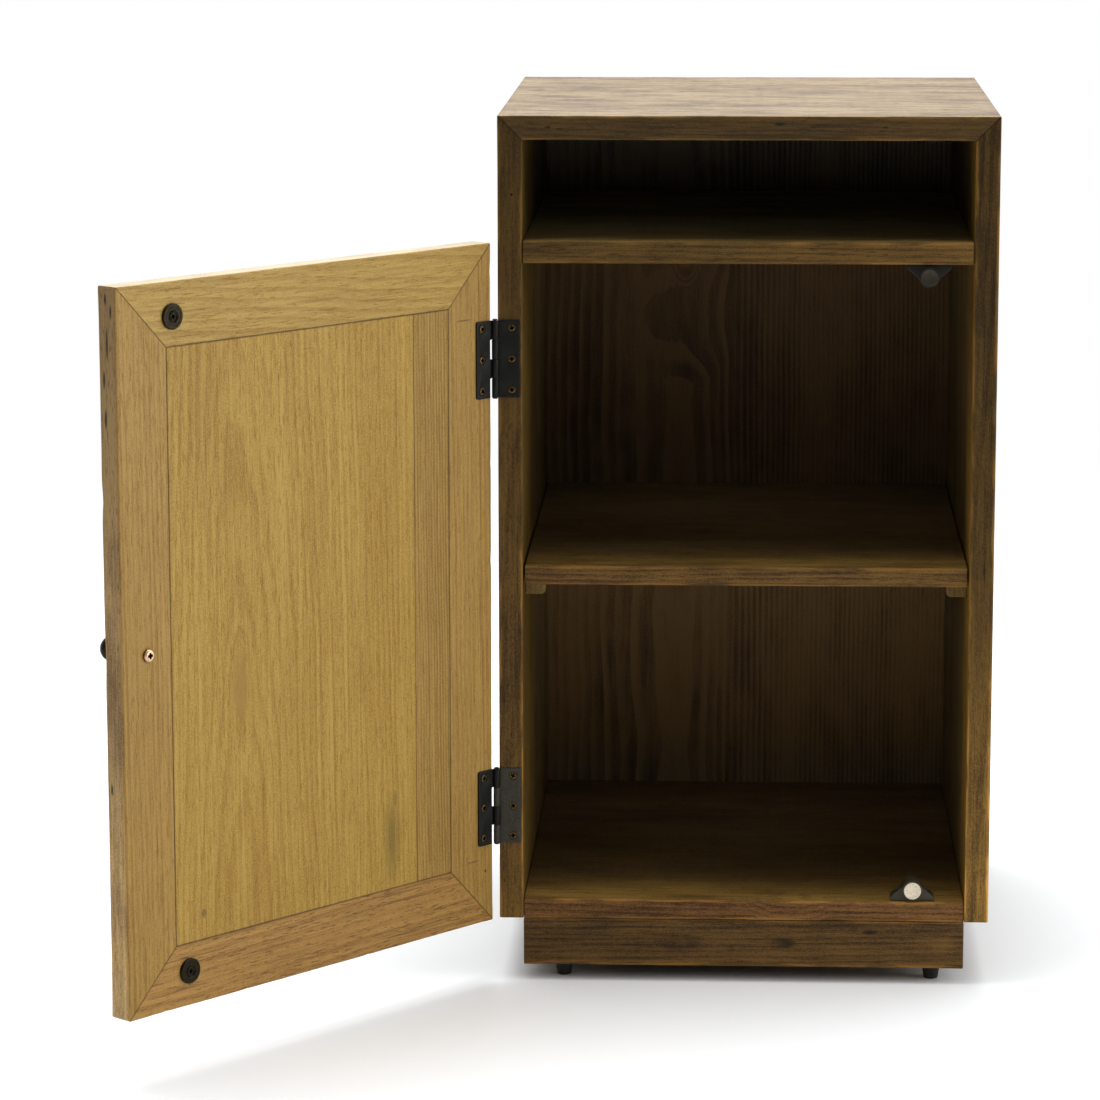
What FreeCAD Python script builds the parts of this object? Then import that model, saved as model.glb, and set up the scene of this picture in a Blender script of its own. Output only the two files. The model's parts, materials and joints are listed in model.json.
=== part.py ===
"""Storage side table with a door: a mitred case on a plinth, one loose shelf, a frame-and-panel door.

Frame: origin on the floor under the middle of the case, +X to the right as seen from the front,
+Y to the back, +Z up.  The door hangs on the left and is stored standing open by door_angle.
Door pieces are drawn with the door shut, in a frame whose Z axis is the hinge pin, and are then
turned open about the pin by their Placement.  All sizes are millimetres.
"""
import FreeCAD, Part
import os
import Sketcher
from FreeCAD import Placement, Rotation, Vector

SHEET_NAME = "Sizes"

# Driving dimensions: one cell and one alias each.
DRIVING_SIZES = {
    # case
    "case_width": 406.0,
    "case_depth": 432.0,
    "overall_height": 722.0,
    "board_thickness": 20.0,
    "case_underside": 53.5,
    "bottom_board_thickness": 17.0,
    "divider_underside": 602.0,
    "divider_thickness": 18.0,
    "arris_radius": 1.0,
    "back_thickness": 6.0,
    "rebate_width": 10.0,
    "back_screw_from_corner": 20.0,
    "back_screw_above_underside": 8.0,
    "tongue_thickness": 4.0,
    "tongue_width": 16.0,
    "tongue_setback": 25.0,
    "dowel_diameter": 8.0,
    "dowel_in_side": 10.0,
    "dowel_in_shelf": 20.0,
    "dowel_spacing": 150.0,
    # loose shelf and its cleats
    "shelf_underside": 336.0,
    "shelf_thickness": 16.0,
    "shelf_recess": 3.0,
    "shelf_side_gap": 1.5,
    "shelf_back_gap": 1.0,
    "cleat_width": 17.0,
    "cleat_height": 15.0,
    "cleat_setback": 40.0,
    "cleat_length": 350.0,
    "cleat_easing": 4.0,
    "cleat_screw_height": 8.25,
    "cleat_screw_from_end": 52.5,
    # plinth and feet
    "foot_height": 13.5,
    "plinth_thickness": 18.0,
    "plinth_rear_inset": 20.0,
    "corner_block_leg": 40.0,
    "corner_block_height": 36.0,
    "foot_top_radius": 8.0,
    "foot_tip_radius": 6.0,
    "foot_tip_easing": 0.8,
    "left_foot_from_middle": 150.0,
    "right_foot_from_middle": 157.0,
    "foot_from_edge": 22.0,
    # door
    "door_angle": 130.0,
    "door_width": 406.0,
    "door_height": 566.5,
    "door_underside": 52.5,
    "door_thickness": 20.0,
    "door_arris_radius": 1.0,
    "frame_width": 50.0,
    "narrow_board_width": 40.0,
    "groove_depth": 7.0,
    "groove_width": 6.0,
    "door_tongue_length": 26.0,
    "door_tongue_width": 20.0,
    "door_tongue_inset": 4.0,
    # butt hinges
    "hinge_height": 63.5,
    "leaf_reach": 20.0,
    "leaf_thickness": 1.5,
    "barrel_radius": 2.7,
    "pin_radius": 1.15,
    "pin_head_radius": 2.1,
    "pin_head_height": 0.8,
    "pin_from_side": 2.0,
    "knuckle_gap": 0.3,
    "knuckle_slot_reach": 4.4,
    "leaf_screw_offset": 13.5,
    "leaf_screw_spacing": 25.4,
    "upper_hinge_centre": 524.0,
    "lower_hinge_centre": 150.0,
    # magnetic catches and strike discs
    "catch_width": 36.0,
    "catch_tip_height": 3.5,
    "catch_depth": 14.0,
    "catch_setback": 3.0,
    "catch_barrel_radius": 8.3,
    "catch_barrel_nose": 1.9,
    "catch_barrel_length": 20.0,
    "catch_shoulder_half": 6.64,
    "catch_shoulder_rise": 3.32,
    "magnet_radius": 7.1,
    "magnet_length": 9.0,
    "magnet_proud": 2.7,
    "magnet_from_board": 10.0,
    "catch_screw_spacing": 26.0,
    "catch_screw_setback": 10.0,
    "upper_magnet_across": 147.0,
    "lower_magnet_across": 140.0,
    "strike_radius": 10.0,
    "strike_thickness": 2.2,
    "strike_bevel": 0.5,
    # knob
    "knob_radius": 10.0,
    "knob_neck_radius": 5.0,
    "knob_foot_radius": 8.0,
    "knob_foot_height": 2.5,
    "knob_foot_slope": 2.0,
    "knob_cove_height": 6.0,
    "knob_lip": 1.0,
    "knob_projection": 29.5,
    "knob_crown_height": 7.5,
    "knob_rim_height": 2.5,
    "knob_from_edge": 26.0,
    "knob_screw_radius": 2.0,
    "knob_screw_grip": 10.0,
    "knob_screw_head_radius": 5.2,
    "knob_screw_head_height": 3.0,
    # countersunk and pan-head wood screws
    "flat_head_radius": 3.3,
    "flat_shank_radius": 1.5,
    "flat_head_depth": 1.9,
    "screw_length": 14.0,
    "screw_tip_length": 3.0,
    "pan_head_radius": 3.5,
    "pan_head_height": 2.0,
    "head_clearance": 0.2,
    "foot_screw_recess": 3.0,
    "foot_screw_length": 25.0,
}

FRONT_ON = "XZ_Plane"  # sketches seen from the front: across, up
SIDE_ON = "YZ_Plane"  # sketches seen from the right: back, up
TOP_DOWN = "XY_Plane"  # sketches seen from above: across, back
NORMAL_SIGN = {FRONT_ON: -1, SIDE_ON: 1, TOP_DOWN: 1}  # which way each plane's normal points
CUT_PAST = 1  # a cut runs this far past the face it opens through
NEAR = 1e-6  # two coordinates closer than this are the same
CROWN_SHARE = 0.55  # a pan head's flat crown, as a share of its radius
SHOULDER_SHARE = 0.45  # the height of a pan head's upright rim, as a share of its height

UP = Rotation()
HEAD_DOWN = Rotation(Vector(1, 0, 0), 180)
HEAD_TO_FRONT = Rotation(Vector(1, 0, 0), 90)
HEAD_TO_BACK = Rotation(Vector(1, 0, 0), -90)
HEAD_TO_RIGHT = Rotation(Vector(0, 1, 0), 90)
HEAD_TO_LEFT = Rotation(Vector(0, 1, 0), -90)


class Size:
    """A length that knows its value and the spreadsheet formula that gives it."""

    def __init__(self, value, formula):
        self.value = float(value)
        self.formula = formula

    @staticmethod
    def of(other):
        if isinstance(other, Size):
            return other
        return Size(other, repr(float(other)))

    def _join(self, sign, other, value):
        return Size(value, f"({self.formula} {sign} {other.formula})")

    def __add__(self, other):
        other = Size.of(other)
        return self._join("+", other, self.value + other.value)

    def __sub__(self, other):
        other = Size.of(other)
        return self._join("-", other, self.value - other.value)

    def __mul__(self, other):
        other = Size.of(other)
        return self._join("*", other, self.value * other.value)

    def __truediv__(self, other):
        other = Size.of(other)
        return self._join("/", other, self.value / other.value)

    def __radd__(self, other):
        return Size.of(other) + self

    def __rsub__(self, other):
        return Size.of(other) - self

    def __rmul__(self, other):
        return Size.of(other) * self

    def __neg__(self):
        return Size(-self.value, f"(-1 * {self.formula})")


class Sizes:
    """The spreadsheet of driving dimensions, read as attributes that are Size values."""

    def __init__(self, doc):
        self.sheet = doc.addObject("Spreadsheet::Sheet", SHEET_NAME)
        for row, (alias, value) in enumerate(DRIVING_SIZES.items(), start=1):
            self.sheet.set(f"A{row}", alias.replace("_", " "))
            self.sheet.set(f"B{row}", str(value))
            self.sheet.setAlias(f"B{row}", alias)
        doc.recompute()

    def __getattr__(self, alias):
        if alias not in DRIVING_SIZES:
            raise AttributeError(alias)
        return Size(DRIVING_SIZES[alias], f"{SHEET_NAME}.{alias}")


doc = FreeCAD.newDocument("side_table")
S = Sizes(doc)
SUB_PARTS = []

# Worked-out planes and places of the case.
HALF_WIDTH = S.case_width / 2
INNER_HALF = HALF_WIDTH - S.board_thickness
FRONT = -S.case_depth / 2
BACK = S.case_depth / 2
BACK_PANEL_FACE = BACK - S.back_thickness
TOP_UNDERSIDE = S.overall_height - S.board_thickness
DIVIDER_TOP = S.divider_underside + S.divider_thickness
FLOOR_BOARD_TOP = S.case_underside + S.bottom_board_thickness
PIN_X = -HALF_WIDTH - S.pin_from_side
PIN_Y = FRONT - S.barrel_radius
# Worked-out planes of the door, in the frame of the hinge pin with the door shut.
DOOR_LEFT = S.pin_from_side
DOOR_RIGHT = DOOR_LEFT + S.door_width
DOOR_BOTTOM = S.door_underside
DOOR_TOP = S.door_underside + S.door_height
DOOR_INNER_FACE = -S.barrel_radius
DOOR_OUTER_FACE = DOOR_INNER_FACE - S.door_thickness
DOOR_MIDDLE = DOOR_INNER_FACE - S.door_thickness / 2


# ---------------------------------------------------------------- drawing helpers


def bind(obj, path, size):
    """Tie a property to the spreadsheet formula of a size."""
    obj.setExpression(path, Size.of(size).formula)


def bind_place(obj, x=0, y=0, z=0, rotation=UP, path="Placement"):
    """Set an object's rotation, and tie its position to the spreadsheet."""
    setattr(obj, path, Placement(Vector(0, 0, 0), rotation))
    for letter, size in (("x", x), ("y", y), ("z", z)):
        bind(obj, f"{path}.Base.{letter}", size)


def sub_part(label, obj):
    """Name an object as a sub-part of the table and list it for export."""
    obj.Label = label
    SUB_PARTS.append(obj)
    return obj


def hang_on_door(obj):
    """Turn a piece that was drawn with the door shut to where it is on the open door."""
    bind(obj, "Placement.Base.x", PIN_X)
    bind(obj, "Placement.Base.y", PIN_Y)
    bind(obj, "Placement.Rotation.Angle", -S.door_angle)
    return obj


def new_body(label):
    """An empty PartDesign body."""
    body = doc.addObject("PartDesign::Body", label + "_body")
    body.Label = label + "_body"
    return body


def sketch_on(body, role, offset=0):
    """A sketch on one of the body's own origin planes, moved to a coordinate along its normal."""
    plane = next(item for item in body.Origin.OriginFeatures if item.Role == role)
    sketch = body.newObject("Sketcher::SketchObject", body.Name + "_sketch")
    sketch.AttachmentSupport = (plane, [""])
    sketch.MapMode = "FlatFace"
    bind(sketch, "AttachmentOffset.Base.z", Size.of(offset) * NORMAL_SIGN[role])
    return sketch


def pin_point(sketch, edge, end, across, up):
    """Fix one end of an edge at a place given by the spreadsheet."""
    for kind, size, axis in (("DistanceX", across, -2), ("DistanceY", up, -1)):
        size = Size.of(size)
        if size.value == 0:
            sketch.addConstraint(Sketcher.Constraint("PointOnObject", edge, end, axis))
            continue
        index = sketch.addConstraint(Sketcher.Constraint(kind, -1, 1, edge, end, size.value))
        bind(sketch, f"Constraints[{index}]", size)


def draw_polygon(sketch, points):
    """Draw a closed outline of straight edges through (across, up) points."""
    first = sketch.GeometryCount
    places = [Vector(Size.of(across).value, Size.of(up).value, 0) for across, up in points]
    count = len(points)
    for index, place in enumerate(places):
        sketch.addGeometry(Part.LineSegment(place, places[(index + 1) % count]), False)
    for index, (across, up) in enumerate(points):
        follower = first + (index + 1) % count
        sketch.addConstraint(Sketcher.Constraint("Coincident", first + index, 2, follower, 1))
        pin_point(sketch, first + index, 1, across, up)


def draw_circle(sketch, across, up, radius):
    """Draw a circle at a place and of a radius given by the spreadsheet."""
    centre = Vector(Size.of(across).value, Size.of(up).value, 0)
    edge = sketch.addGeometry(Part.Circle(centre, Vector(0, 0, 1), Size.of(radius).value), False)
    pin_point(sketch, edge, 3, across, up)
    index = sketch.addConstraint(Sketcher.Constraint("Radius", edge, Size.of(radius).value))
    bind(sketch, f"Constraints[{index}]", radius)


def span(low, high):
    """The middle and the length of the stretch between two coordinates."""
    low, high = Size.of(low), Size.of(high)
    return (low + high) / 2, high - low


def pad(body, role, outlines, low, high):
    """Pad closed outlines from one coordinate to another along the plane's normal."""
    middle, length = span(low, high)
    sketch = sketch_on(body, role, middle)
    for outline in outlines:
        draw_polygon(sketch, outline)
    feature = body.newObject("PartDesign::Pad", body.Name + "_pad")
    feature.Profile = sketch
    feature.Midplane = True
    bind(feature, "Length", length)
    sketch.Visibility = False
    doc.recompute()
    return feature


def pocket(body, role, draw, low, high):
    """Cut what draw(sketch) outlines, from one coordinate to another, and prove that it cut."""
    volume_before = body.Tip.Shape.Volume
    middle, length = span(low, high)
    sketch = sketch_on(body, role, middle)
    draw(sketch)
    feature = body.newObject("PartDesign::Pocket", body.Name + "_pocket")
    feature.Profile = sketch
    feature.Midplane = True
    bind(feature, "Length", length)
    doc.recompute()
    if not feature.Shape.Volume < volume_before:
        raise RuntimeError(f"{feature.Name} cut nothing")
    return feature


def pocket_polygon(body, role, outline, low, high):
    """Cut one straight-edged outline."""
    return pocket(body, role, lambda sketch: draw_polygon(sketch, outline), low, high)


def rectangle(left, right, bottom, top):
    """The four corners of a rectangle."""
    return [(left, bottom), (right, bottom), (right, top), (left, top)]


def ease_edges(body, radius, wanted):
    """Round the straight edges whose two ends both pass the test `wanted`."""
    solid = body.Tip
    names = []
    for index, edge in enumerate(solid.Shape.Edges, start=1):
        ends = [vertex.Point for vertex in edge.Vertexes]
        if len(ends) == 2 and wanted(*ends):
            names.append(f"Edge{index}")
    fillet = body.newObject("PartDesign::Fillet", body.Name + "_fillet")
    fillet.Base = (solid, names)
    bind(fillet, "Radius", radius)
    doc.recompute()
    if fillet.Shape.isNull() or not fillet.Shape.isValid():
        raise RuntimeError(f"{body.Name}: the arrises could not be rounded")
    return fillet


def on_plane(axis, size):
    """A test that both ends of an edge lie at one coordinate along an axis."""
    value = Size.of(size).value

    def test(start, end):
        return all(abs(getattr(point, axis) - value) < NEAR for point in (start, end))

    return test


def along(axis, test):
    """Narrow an edge test to edges that run along an axis."""
    others = [letter for letter in "xyz" if letter != axis]

    def narrowed(start, end):
        straight = all(abs(getattr(start, o) - getattr(end, o)) < NEAR for o in others)
        return straight and test(start, end)

    return narrowed


def countersink(body, x, y, z, rotation):
    """Cut the seat of one countersunk head; the rotation turns +Z into the wood or leaf."""
    cone = body.newObject("PartDesign::SubtractiveCone", body.Name + "_countersink")
    bind(cone, "Radius1", S.flat_head_radius)
    bind(cone, "Radius2", S.flat_shank_radius)
    bind(cone, "Height", S.flat_head_depth)
    bind_place(cone, x, y, z, rotation)


def turned(label, outline):
    """A body turned about its own Z axis from an outline of (radius, height) points."""
    body = new_body(label)
    sketch = sketch_on(body, FRONT_ON)
    draw_polygon(sketch, outline)
    feature = body.newObject("PartDesign::Revolution", body.Name + "_revolution")
    feature.Profile = sketch
    feature.ReferenceAxis = (sketch, ["V_Axis"])
    feature.Angle = 360
    doc.recompute()
    return body


def copies(label, master, places):
    """One node of separate solids: a copy of the master at each (x, y, z, rotation)."""
    links = []
    for index, (x, y, z, rotation) in enumerate(places, start=1):
        link = doc.addObject("App::Link", f"{label}_{index}")
        link.LinkedObject = master
        bind_place(link, x, y, z, rotation, path="LinkPlacement")
        links.append(link)
    group = doc.addObject("Part::Compound", label)
    group.Links = links
    return sub_part(label, group)


# ---------------------------------------------------------------- screws and dowels


def flat_head_screw(label, length):
    """A countersunk wood screw: its head is flush at z = 0 and it points down."""
    return turned(label, [
        (0, 0),
        (S.flat_head_radius, 0),
        (S.flat_shank_radius, -S.flat_head_depth),
        (S.flat_shank_radius, -length + S.screw_tip_length),
        (0, -length),
    ])


def pan_head_screw(label, length):
    """A pan-head wood screw: the underside of its head is at z = 0 and it points down."""
    return turned(label, [
        (0, S.pan_head_height),
        (S.pan_head_radius * CROWN_SHARE, S.pan_head_height),
        (S.pan_head_radius, S.pan_head_height * SHOULDER_SHARE),
        (S.pan_head_radius, 0),
        (S.flat_shank_radius, 0),
        (S.flat_shank_radius, -length + S.screw_tip_length),
        (0, -length),
    ])


FLAT_SCREW = flat_head_screw("flat_screw", S.screw_length)
FOOT_SCREW = flat_head_screw("foot_screw", S.foot_screw_length)
PAN_SCREW = pan_head_screw("pan_screw", S.screw_length)
DOWEL_LENGTH = S.dowel_in_side + S.dowel_in_shelf
DOWEL_RADIUS = S.dowel_diameter / 2
DOWEL = turned("dowel", [(0, 0), (DOWEL_RADIUS, 0), (DOWEL_RADIUS, DOWEL_LENGTH), (0, DOWEL_LENGTH)])


# ---------------------------------------------------------------- case

MITRE_MIDDLE_X = HALF_WIDTH - S.board_thickness / 2
MITRE_MIDDLE_Z = S.overall_height - S.board_thickness / 2
ROOT_HALF = 0.5**0.5
TONGUE_START = FRONT + S.tongue_setback
TONGUE_END = BACK - S.tongue_setback
DOWEL_PLACES = (-S.dowel_spacing, Size.of(0), S.dowel_spacing)


def mitre_tongue_outline(side):
    """The tongue's section, laid square across the mitre; side is -1 on the left, 1 on the right."""
    half_thick = S.tongue_thickness / 2 * ROOT_HALF
    half_wide = S.tongue_width / 2 * ROOT_HALF
    corners = []
    for wide, thick in ((-1, -1), (1, -1), (1, 1), (-1, 1)):
        across = MITRE_MIDDLE_X + thick * half_thick + wide * half_wide
        up = MITRE_MIDDLE_Z + thick * half_thick - wide * half_wide
        corners.append((side * across, up))
    return corners


def back_rebate(body):
    """Cut the seat of the back panel."""
    reach = INNER_HALF + S.rebate_width
    seat = rectangle(-reach, reach, S.case_underside - CUT_PAST, TOP_UNDERSIDE + S.rebate_width)
    pocket_polygon(body, FRONT_ON, seat, BACK_PANEL_FACE, BACK + CUT_PAST)


def top_panel():
    """The top board, mitred into the side panels and rebated for the back."""
    body = new_body("top_panel")
    pad(body, FRONT_ON, [[
        (-HALF_WIDTH, S.overall_height),
        (-INNER_HALF, TOP_UNDERSIDE),
        (INNER_HALF, TOP_UNDERSIDE),
        (HALF_WIDTH, S.overall_height),
    ]], FRONT, BACK)
    back_rebate(body)
    for side in (-1, 1):
        pocket_polygon(body, FRONT_ON, mitre_tongue_outline(side), TONGUE_START, TONGUE_END)
    ease_edges(body, S.arris_radius, along("x", on_plane("y", FRONT)))
    sub_part("top_panel", body)


def side_panel(label, side):
    """A side panel with its mitre, back rebate, tongue slot and blind dowel holes."""
    body = new_body(label)
    pad(body, FRONT_ON, [[
        (side * HALF_WIDTH, S.overall_height),
        (side * INNER_HALF, TOP_UNDERSIDE),
        (side * INNER_HALF, S.case_underside),
        (side * HALF_WIDTH, S.case_underside),
    ]], FRONT, BACK)
    back_rebate(body)
    pocket_polygon(body, FRONT_ON, mitre_tongue_outline(side), TONGUE_START, TONGUE_END)
    heights = (
        S.divider_underside + S.divider_thickness / 2,
        S.case_underside + S.bottom_board_thickness / 2,
    )

    def draw_dowel_holes(sketch):
        for height in heights:
            for place in DOWEL_PLACES:
                draw_circle(sketch, place, height, DOWEL_RADIUS)

    near, far = side * INNER_HALF, side * (INNER_HALF + S.dowel_in_side)
    low, high = (near, far) if side > 0 else (far, near)
    pocket(body, SIDE_ON, draw_dowel_holes, low, high)
    ease_edges(body, S.arris_radius, along("z", on_plane("y", FRONT)))
    sub_part(label, body)


def fixed_board(label, bottom, thickness):
    """A board that is dowelled between the sides: the divider shelf or the bottom board."""
    body = new_body(label)
    outline = rectangle(-INNER_HALF, INNER_HALF, bottom, bottom + thickness)
    pad(body, FRONT_ON, [outline], FRONT, BACK_PANEL_FACE)
    for side in (-1, 1):
        near, far = side * (INNER_HALF - S.dowel_in_shelf), side * INNER_HALF
        low, high = (near, far) if side > 0 else (far, near)

        def draw_dowel_holes(sketch):
            for place in DOWEL_PLACES:
                draw_circle(sketch, place, bottom + thickness / 2, DOWEL_RADIUS)

        pocket(body, SIDE_ON, draw_dowel_holes, low, high)
    ease_edges(body, S.arris_radius, along("x", on_plane("y", FRONT)))
    sub_part(label, body)
    places = []
    for side, turn in ((-1, HEAD_TO_LEFT), (1, HEAD_TO_RIGHT)):
        for place in DOWEL_PLACES:
            start = side * (INNER_HALF - S.dowel_in_shelf)
            places.append((start, place, bottom + thickness / 2, turn))
    copies(label + "_dowels", DOWEL, places)


def case_mitre_tongues():
    """The loose tongues that lie across the two mitres of the case."""
    body = new_body("mitre_tongue")
    pad(body, FRONT_ON, [mitre_tongue_outline(1)], TONGUE_START, TONGUE_END)
    mirrored = doc.addObject("Part::Mirroring", "mitre_tongue_mirrored")
    mirrored.Source = body
    mirrored.Base = Vector(0, 0, 0)
    mirrored.Normal = Vector(1, 0, 0)
    group = doc.addObject("Part::Compound", "case_mitre_tongues")
    group.Links = [body, mirrored]
    sub_part("case_mitre_tongues", group)


def back_panel():
    """A plywood back let into the rebate, held by countersunk screws all round."""
    edge = INNER_HALF + S.rebate_width / 2
    rows = 4
    low = FLOOR_BOARD_TOP + S.back_screw_from_corner
    step = (TOP_UNDERSIDE - S.back_screw_from_corner - low) / (rows - 1)
    places = []
    for side in (-1, 1):
        places += [(side * edge, low + step * row) for row in range(rows)]
        places.append((side * INNER_HALF / 2, TOP_UNDERSIDE + S.rebate_width / 2))
        places.append((side * INNER_HALF / 2, S.case_underside + S.back_screw_above_underside))

    def draw_shank_holes(sketch):
        for across, up in places:
            draw_circle(sketch, across, up, S.flat_shank_radius)

    body = new_body("back_panel")
    reach = INNER_HALF + S.rebate_width
    outline = rectangle(-reach, reach, S.case_underside, TOP_UNDERSIDE + S.rebate_width)
    pad(body, FRONT_ON, [outline], BACK_PANEL_FACE, BACK)
    pocket(body, FRONT_ON, draw_shank_holes, BACK_PANEL_FACE - CUT_PAST, BACK + CUT_PAST)
    volume_before = body.Tip.Shape.Volume
    for across, up in places:
        countersink(body, across, BACK, up, HEAD_TO_FRONT)
    doc.recompute()
    if not body.Tip.Shape.Volume < volume_before:
        raise RuntimeError("the back panel has no countersinks")
    sub_part("back_panel", body)
    copies("back_panel_screws", FLAT_SCREW, [(across, BACK, up, HEAD_TO_BACK) for across, up in places])


def middle_shelf():
    """The loose shelf, which lies on the cleats and lifts off them."""
    body = new_body("middle_shelf")
    reach = INNER_HALF - S.shelf_side_gap
    outline = rectangle(-reach, reach, S.shelf_underside, S.shelf_underside + S.shelf_thickness)
    pad(body, FRONT_ON, [outline], FRONT + S.shelf_recess, BACK_PANEL_FACE - S.shelf_back_gap)
    ease_edges(body, S.arris_radius, along("x", on_plane("y", FRONT + S.shelf_recess)))
    sub_part("middle_shelf", body)


def shelf_cleat(label, side, bevelled):
    """A batten screwed to the side panel; its lower inner arris is bevelled or rounded."""
    body = new_body(label)
    outer, inner = side * INNER_HALF, side * (INNER_HALF - S.cleat_width)
    bottom = S.shelf_underside - S.cleat_height
    start = FRONT + S.cleat_setback
    outline = [(outer, S.shelf_underside), (inner, S.shelf_underside), (inner, bottom), (outer, bottom)]
    if bevelled:
        eased = side * (INNER_HALF - S.cleat_width + S.cleat_easing)
        outline[2:3] = [(inner, bottom + S.cleat_easing), (eased, bottom)]
    pad(body, FRONT_ON, [outline], start, start + S.cleat_length)
    if not bevelled:
        on_inner, on_bottom = on_plane("x", inner), on_plane("z", bottom)
        ease_edges(body, S.cleat_easing, lambda *ends: on_inner(*ends) and on_bottom(*ends))
    sub_part(label, body)


def cleat_screws():
    """Two pan-head screws through each cleat into the side panel."""
    start = FRONT + S.cleat_setback
    depths = (start + S.cleat_screw_from_end, start + S.cleat_length - S.cleat_screw_from_end)
    height = S.shelf_underside - S.cleat_height + S.cleat_screw_height
    places = []
    for side, turn in ((-1, HEAD_TO_RIGHT), (1, HEAD_TO_LEFT)):
        across = side * (INNER_HALF - S.cleat_width)
        places += [(across, depth, height, turn) for depth in depths]
    screw = pan_head_screw("cleat_screw", S.cleat_width + S.screw_length)
    copies("cleat_screws", screw, places)


# ---------------------------------------------------------------- plinth and feet

PLINTH_BACK = BACK - S.plinth_rear_inset
PLINTH_INNER_HALF = INNER_HALF - S.plinth_thickness
PLINTH_INNER_FRONT = FRONT + S.plinth_thickness
PLINTH_INNER_BACK = PLINTH_BACK - S.plinth_thickness


def plinth_board(label, left, right, front, back):
    """One board of the plinth, between the feet and the underside of the case."""
    body = new_body(label)
    pad(body, FRONT_ON, [rectangle(left, right, S.foot_height, S.case_underside)], front, back)
    sub_part(label, body)


def plinth():
    """Four plinth boards, butted at the corners and glued to triangular blocks inside them."""
    plinth_board("plinth_front_board", -INNER_HALF, INNER_HALF, FRONT, PLINTH_INNER_FRONT)
    plinth_board("plinth_back_board", -INNER_HALF, INNER_HALF, PLINTH_INNER_BACK, PLINTH_BACK)
    inner = (PLINTH_INNER_FRONT, PLINTH_INNER_BACK)
    plinth_board("plinth_left_board", -INNER_HALF, -PLINTH_INNER_HALF, *inner)
    plinth_board("plinth_right_board", PLINTH_INNER_HALF, INNER_HALF, *inner)
    blocks = []
    for side in (-1, 1):
        for corner, inward in ((PLINTH_INNER_FRONT, 1), (PLINTH_INNER_BACK, -1)):
            body = new_body("corner_block")
            across = side * PLINTH_INNER_HALF
            pad(body, TOP_DOWN, [[
                (across, corner),
                (across - side * S.corner_block_leg, corner),
                (across, corner + inward * S.corner_block_leg),
            ]], S.foot_height, S.foot_height + S.corner_block_height)
            blocks.append(body)
    group = doc.addObject("Part::Compound", "plinth_corner_blocks")
    group.Links = blocks
    sub_part("plinth_corner_blocks", group)


def foot(label, across, back):
    """A tapered glide with a countersunk screw hole up its middle."""
    easing = S.foot_tip_easing
    hole = S.flat_shank_radius
    recess = S.foot_screw_recess
    body = turned(label, [
        (hole, S.foot_height),
        (hole, recess + S.flat_head_depth),
        (S.flat_head_radius, recess),
        (S.flat_head_radius, 0),
        (S.foot_tip_radius - easing, 0),
        (S.foot_tip_radius, easing),
        (S.foot_top_radius, S.foot_height),
    ])
    bind_place(body, across, back, 0)
    sub_part(label, body)


def feet():
    """A glide near each corner of the plinth, with the screw that holds it."""
    front, back = FRONT + S.foot_from_edge, PLINTH_BACK - S.foot_from_edge
    places = []
    for end, depth in (("front", front), ("back", back)):
        for side, across in (("left", -S.left_foot_from_middle), ("right", S.right_foot_from_middle)):
            foot(f"foot_{end}_{side}", across, depth)
            places.append((across, depth, S.foot_screw_recess, HEAD_DOWN))
    copies("foot_screws", FOOT_SCREW, places)


# ---------------------------------------------------------------- magnetic catches

CATCH_FACE = FRONT - S.catch_barrel_nose
MAGNET_FACE = FRONT - S.magnet_proud
MAGNET_SEAT = MAGNET_FACE + S.magnet_length


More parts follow.
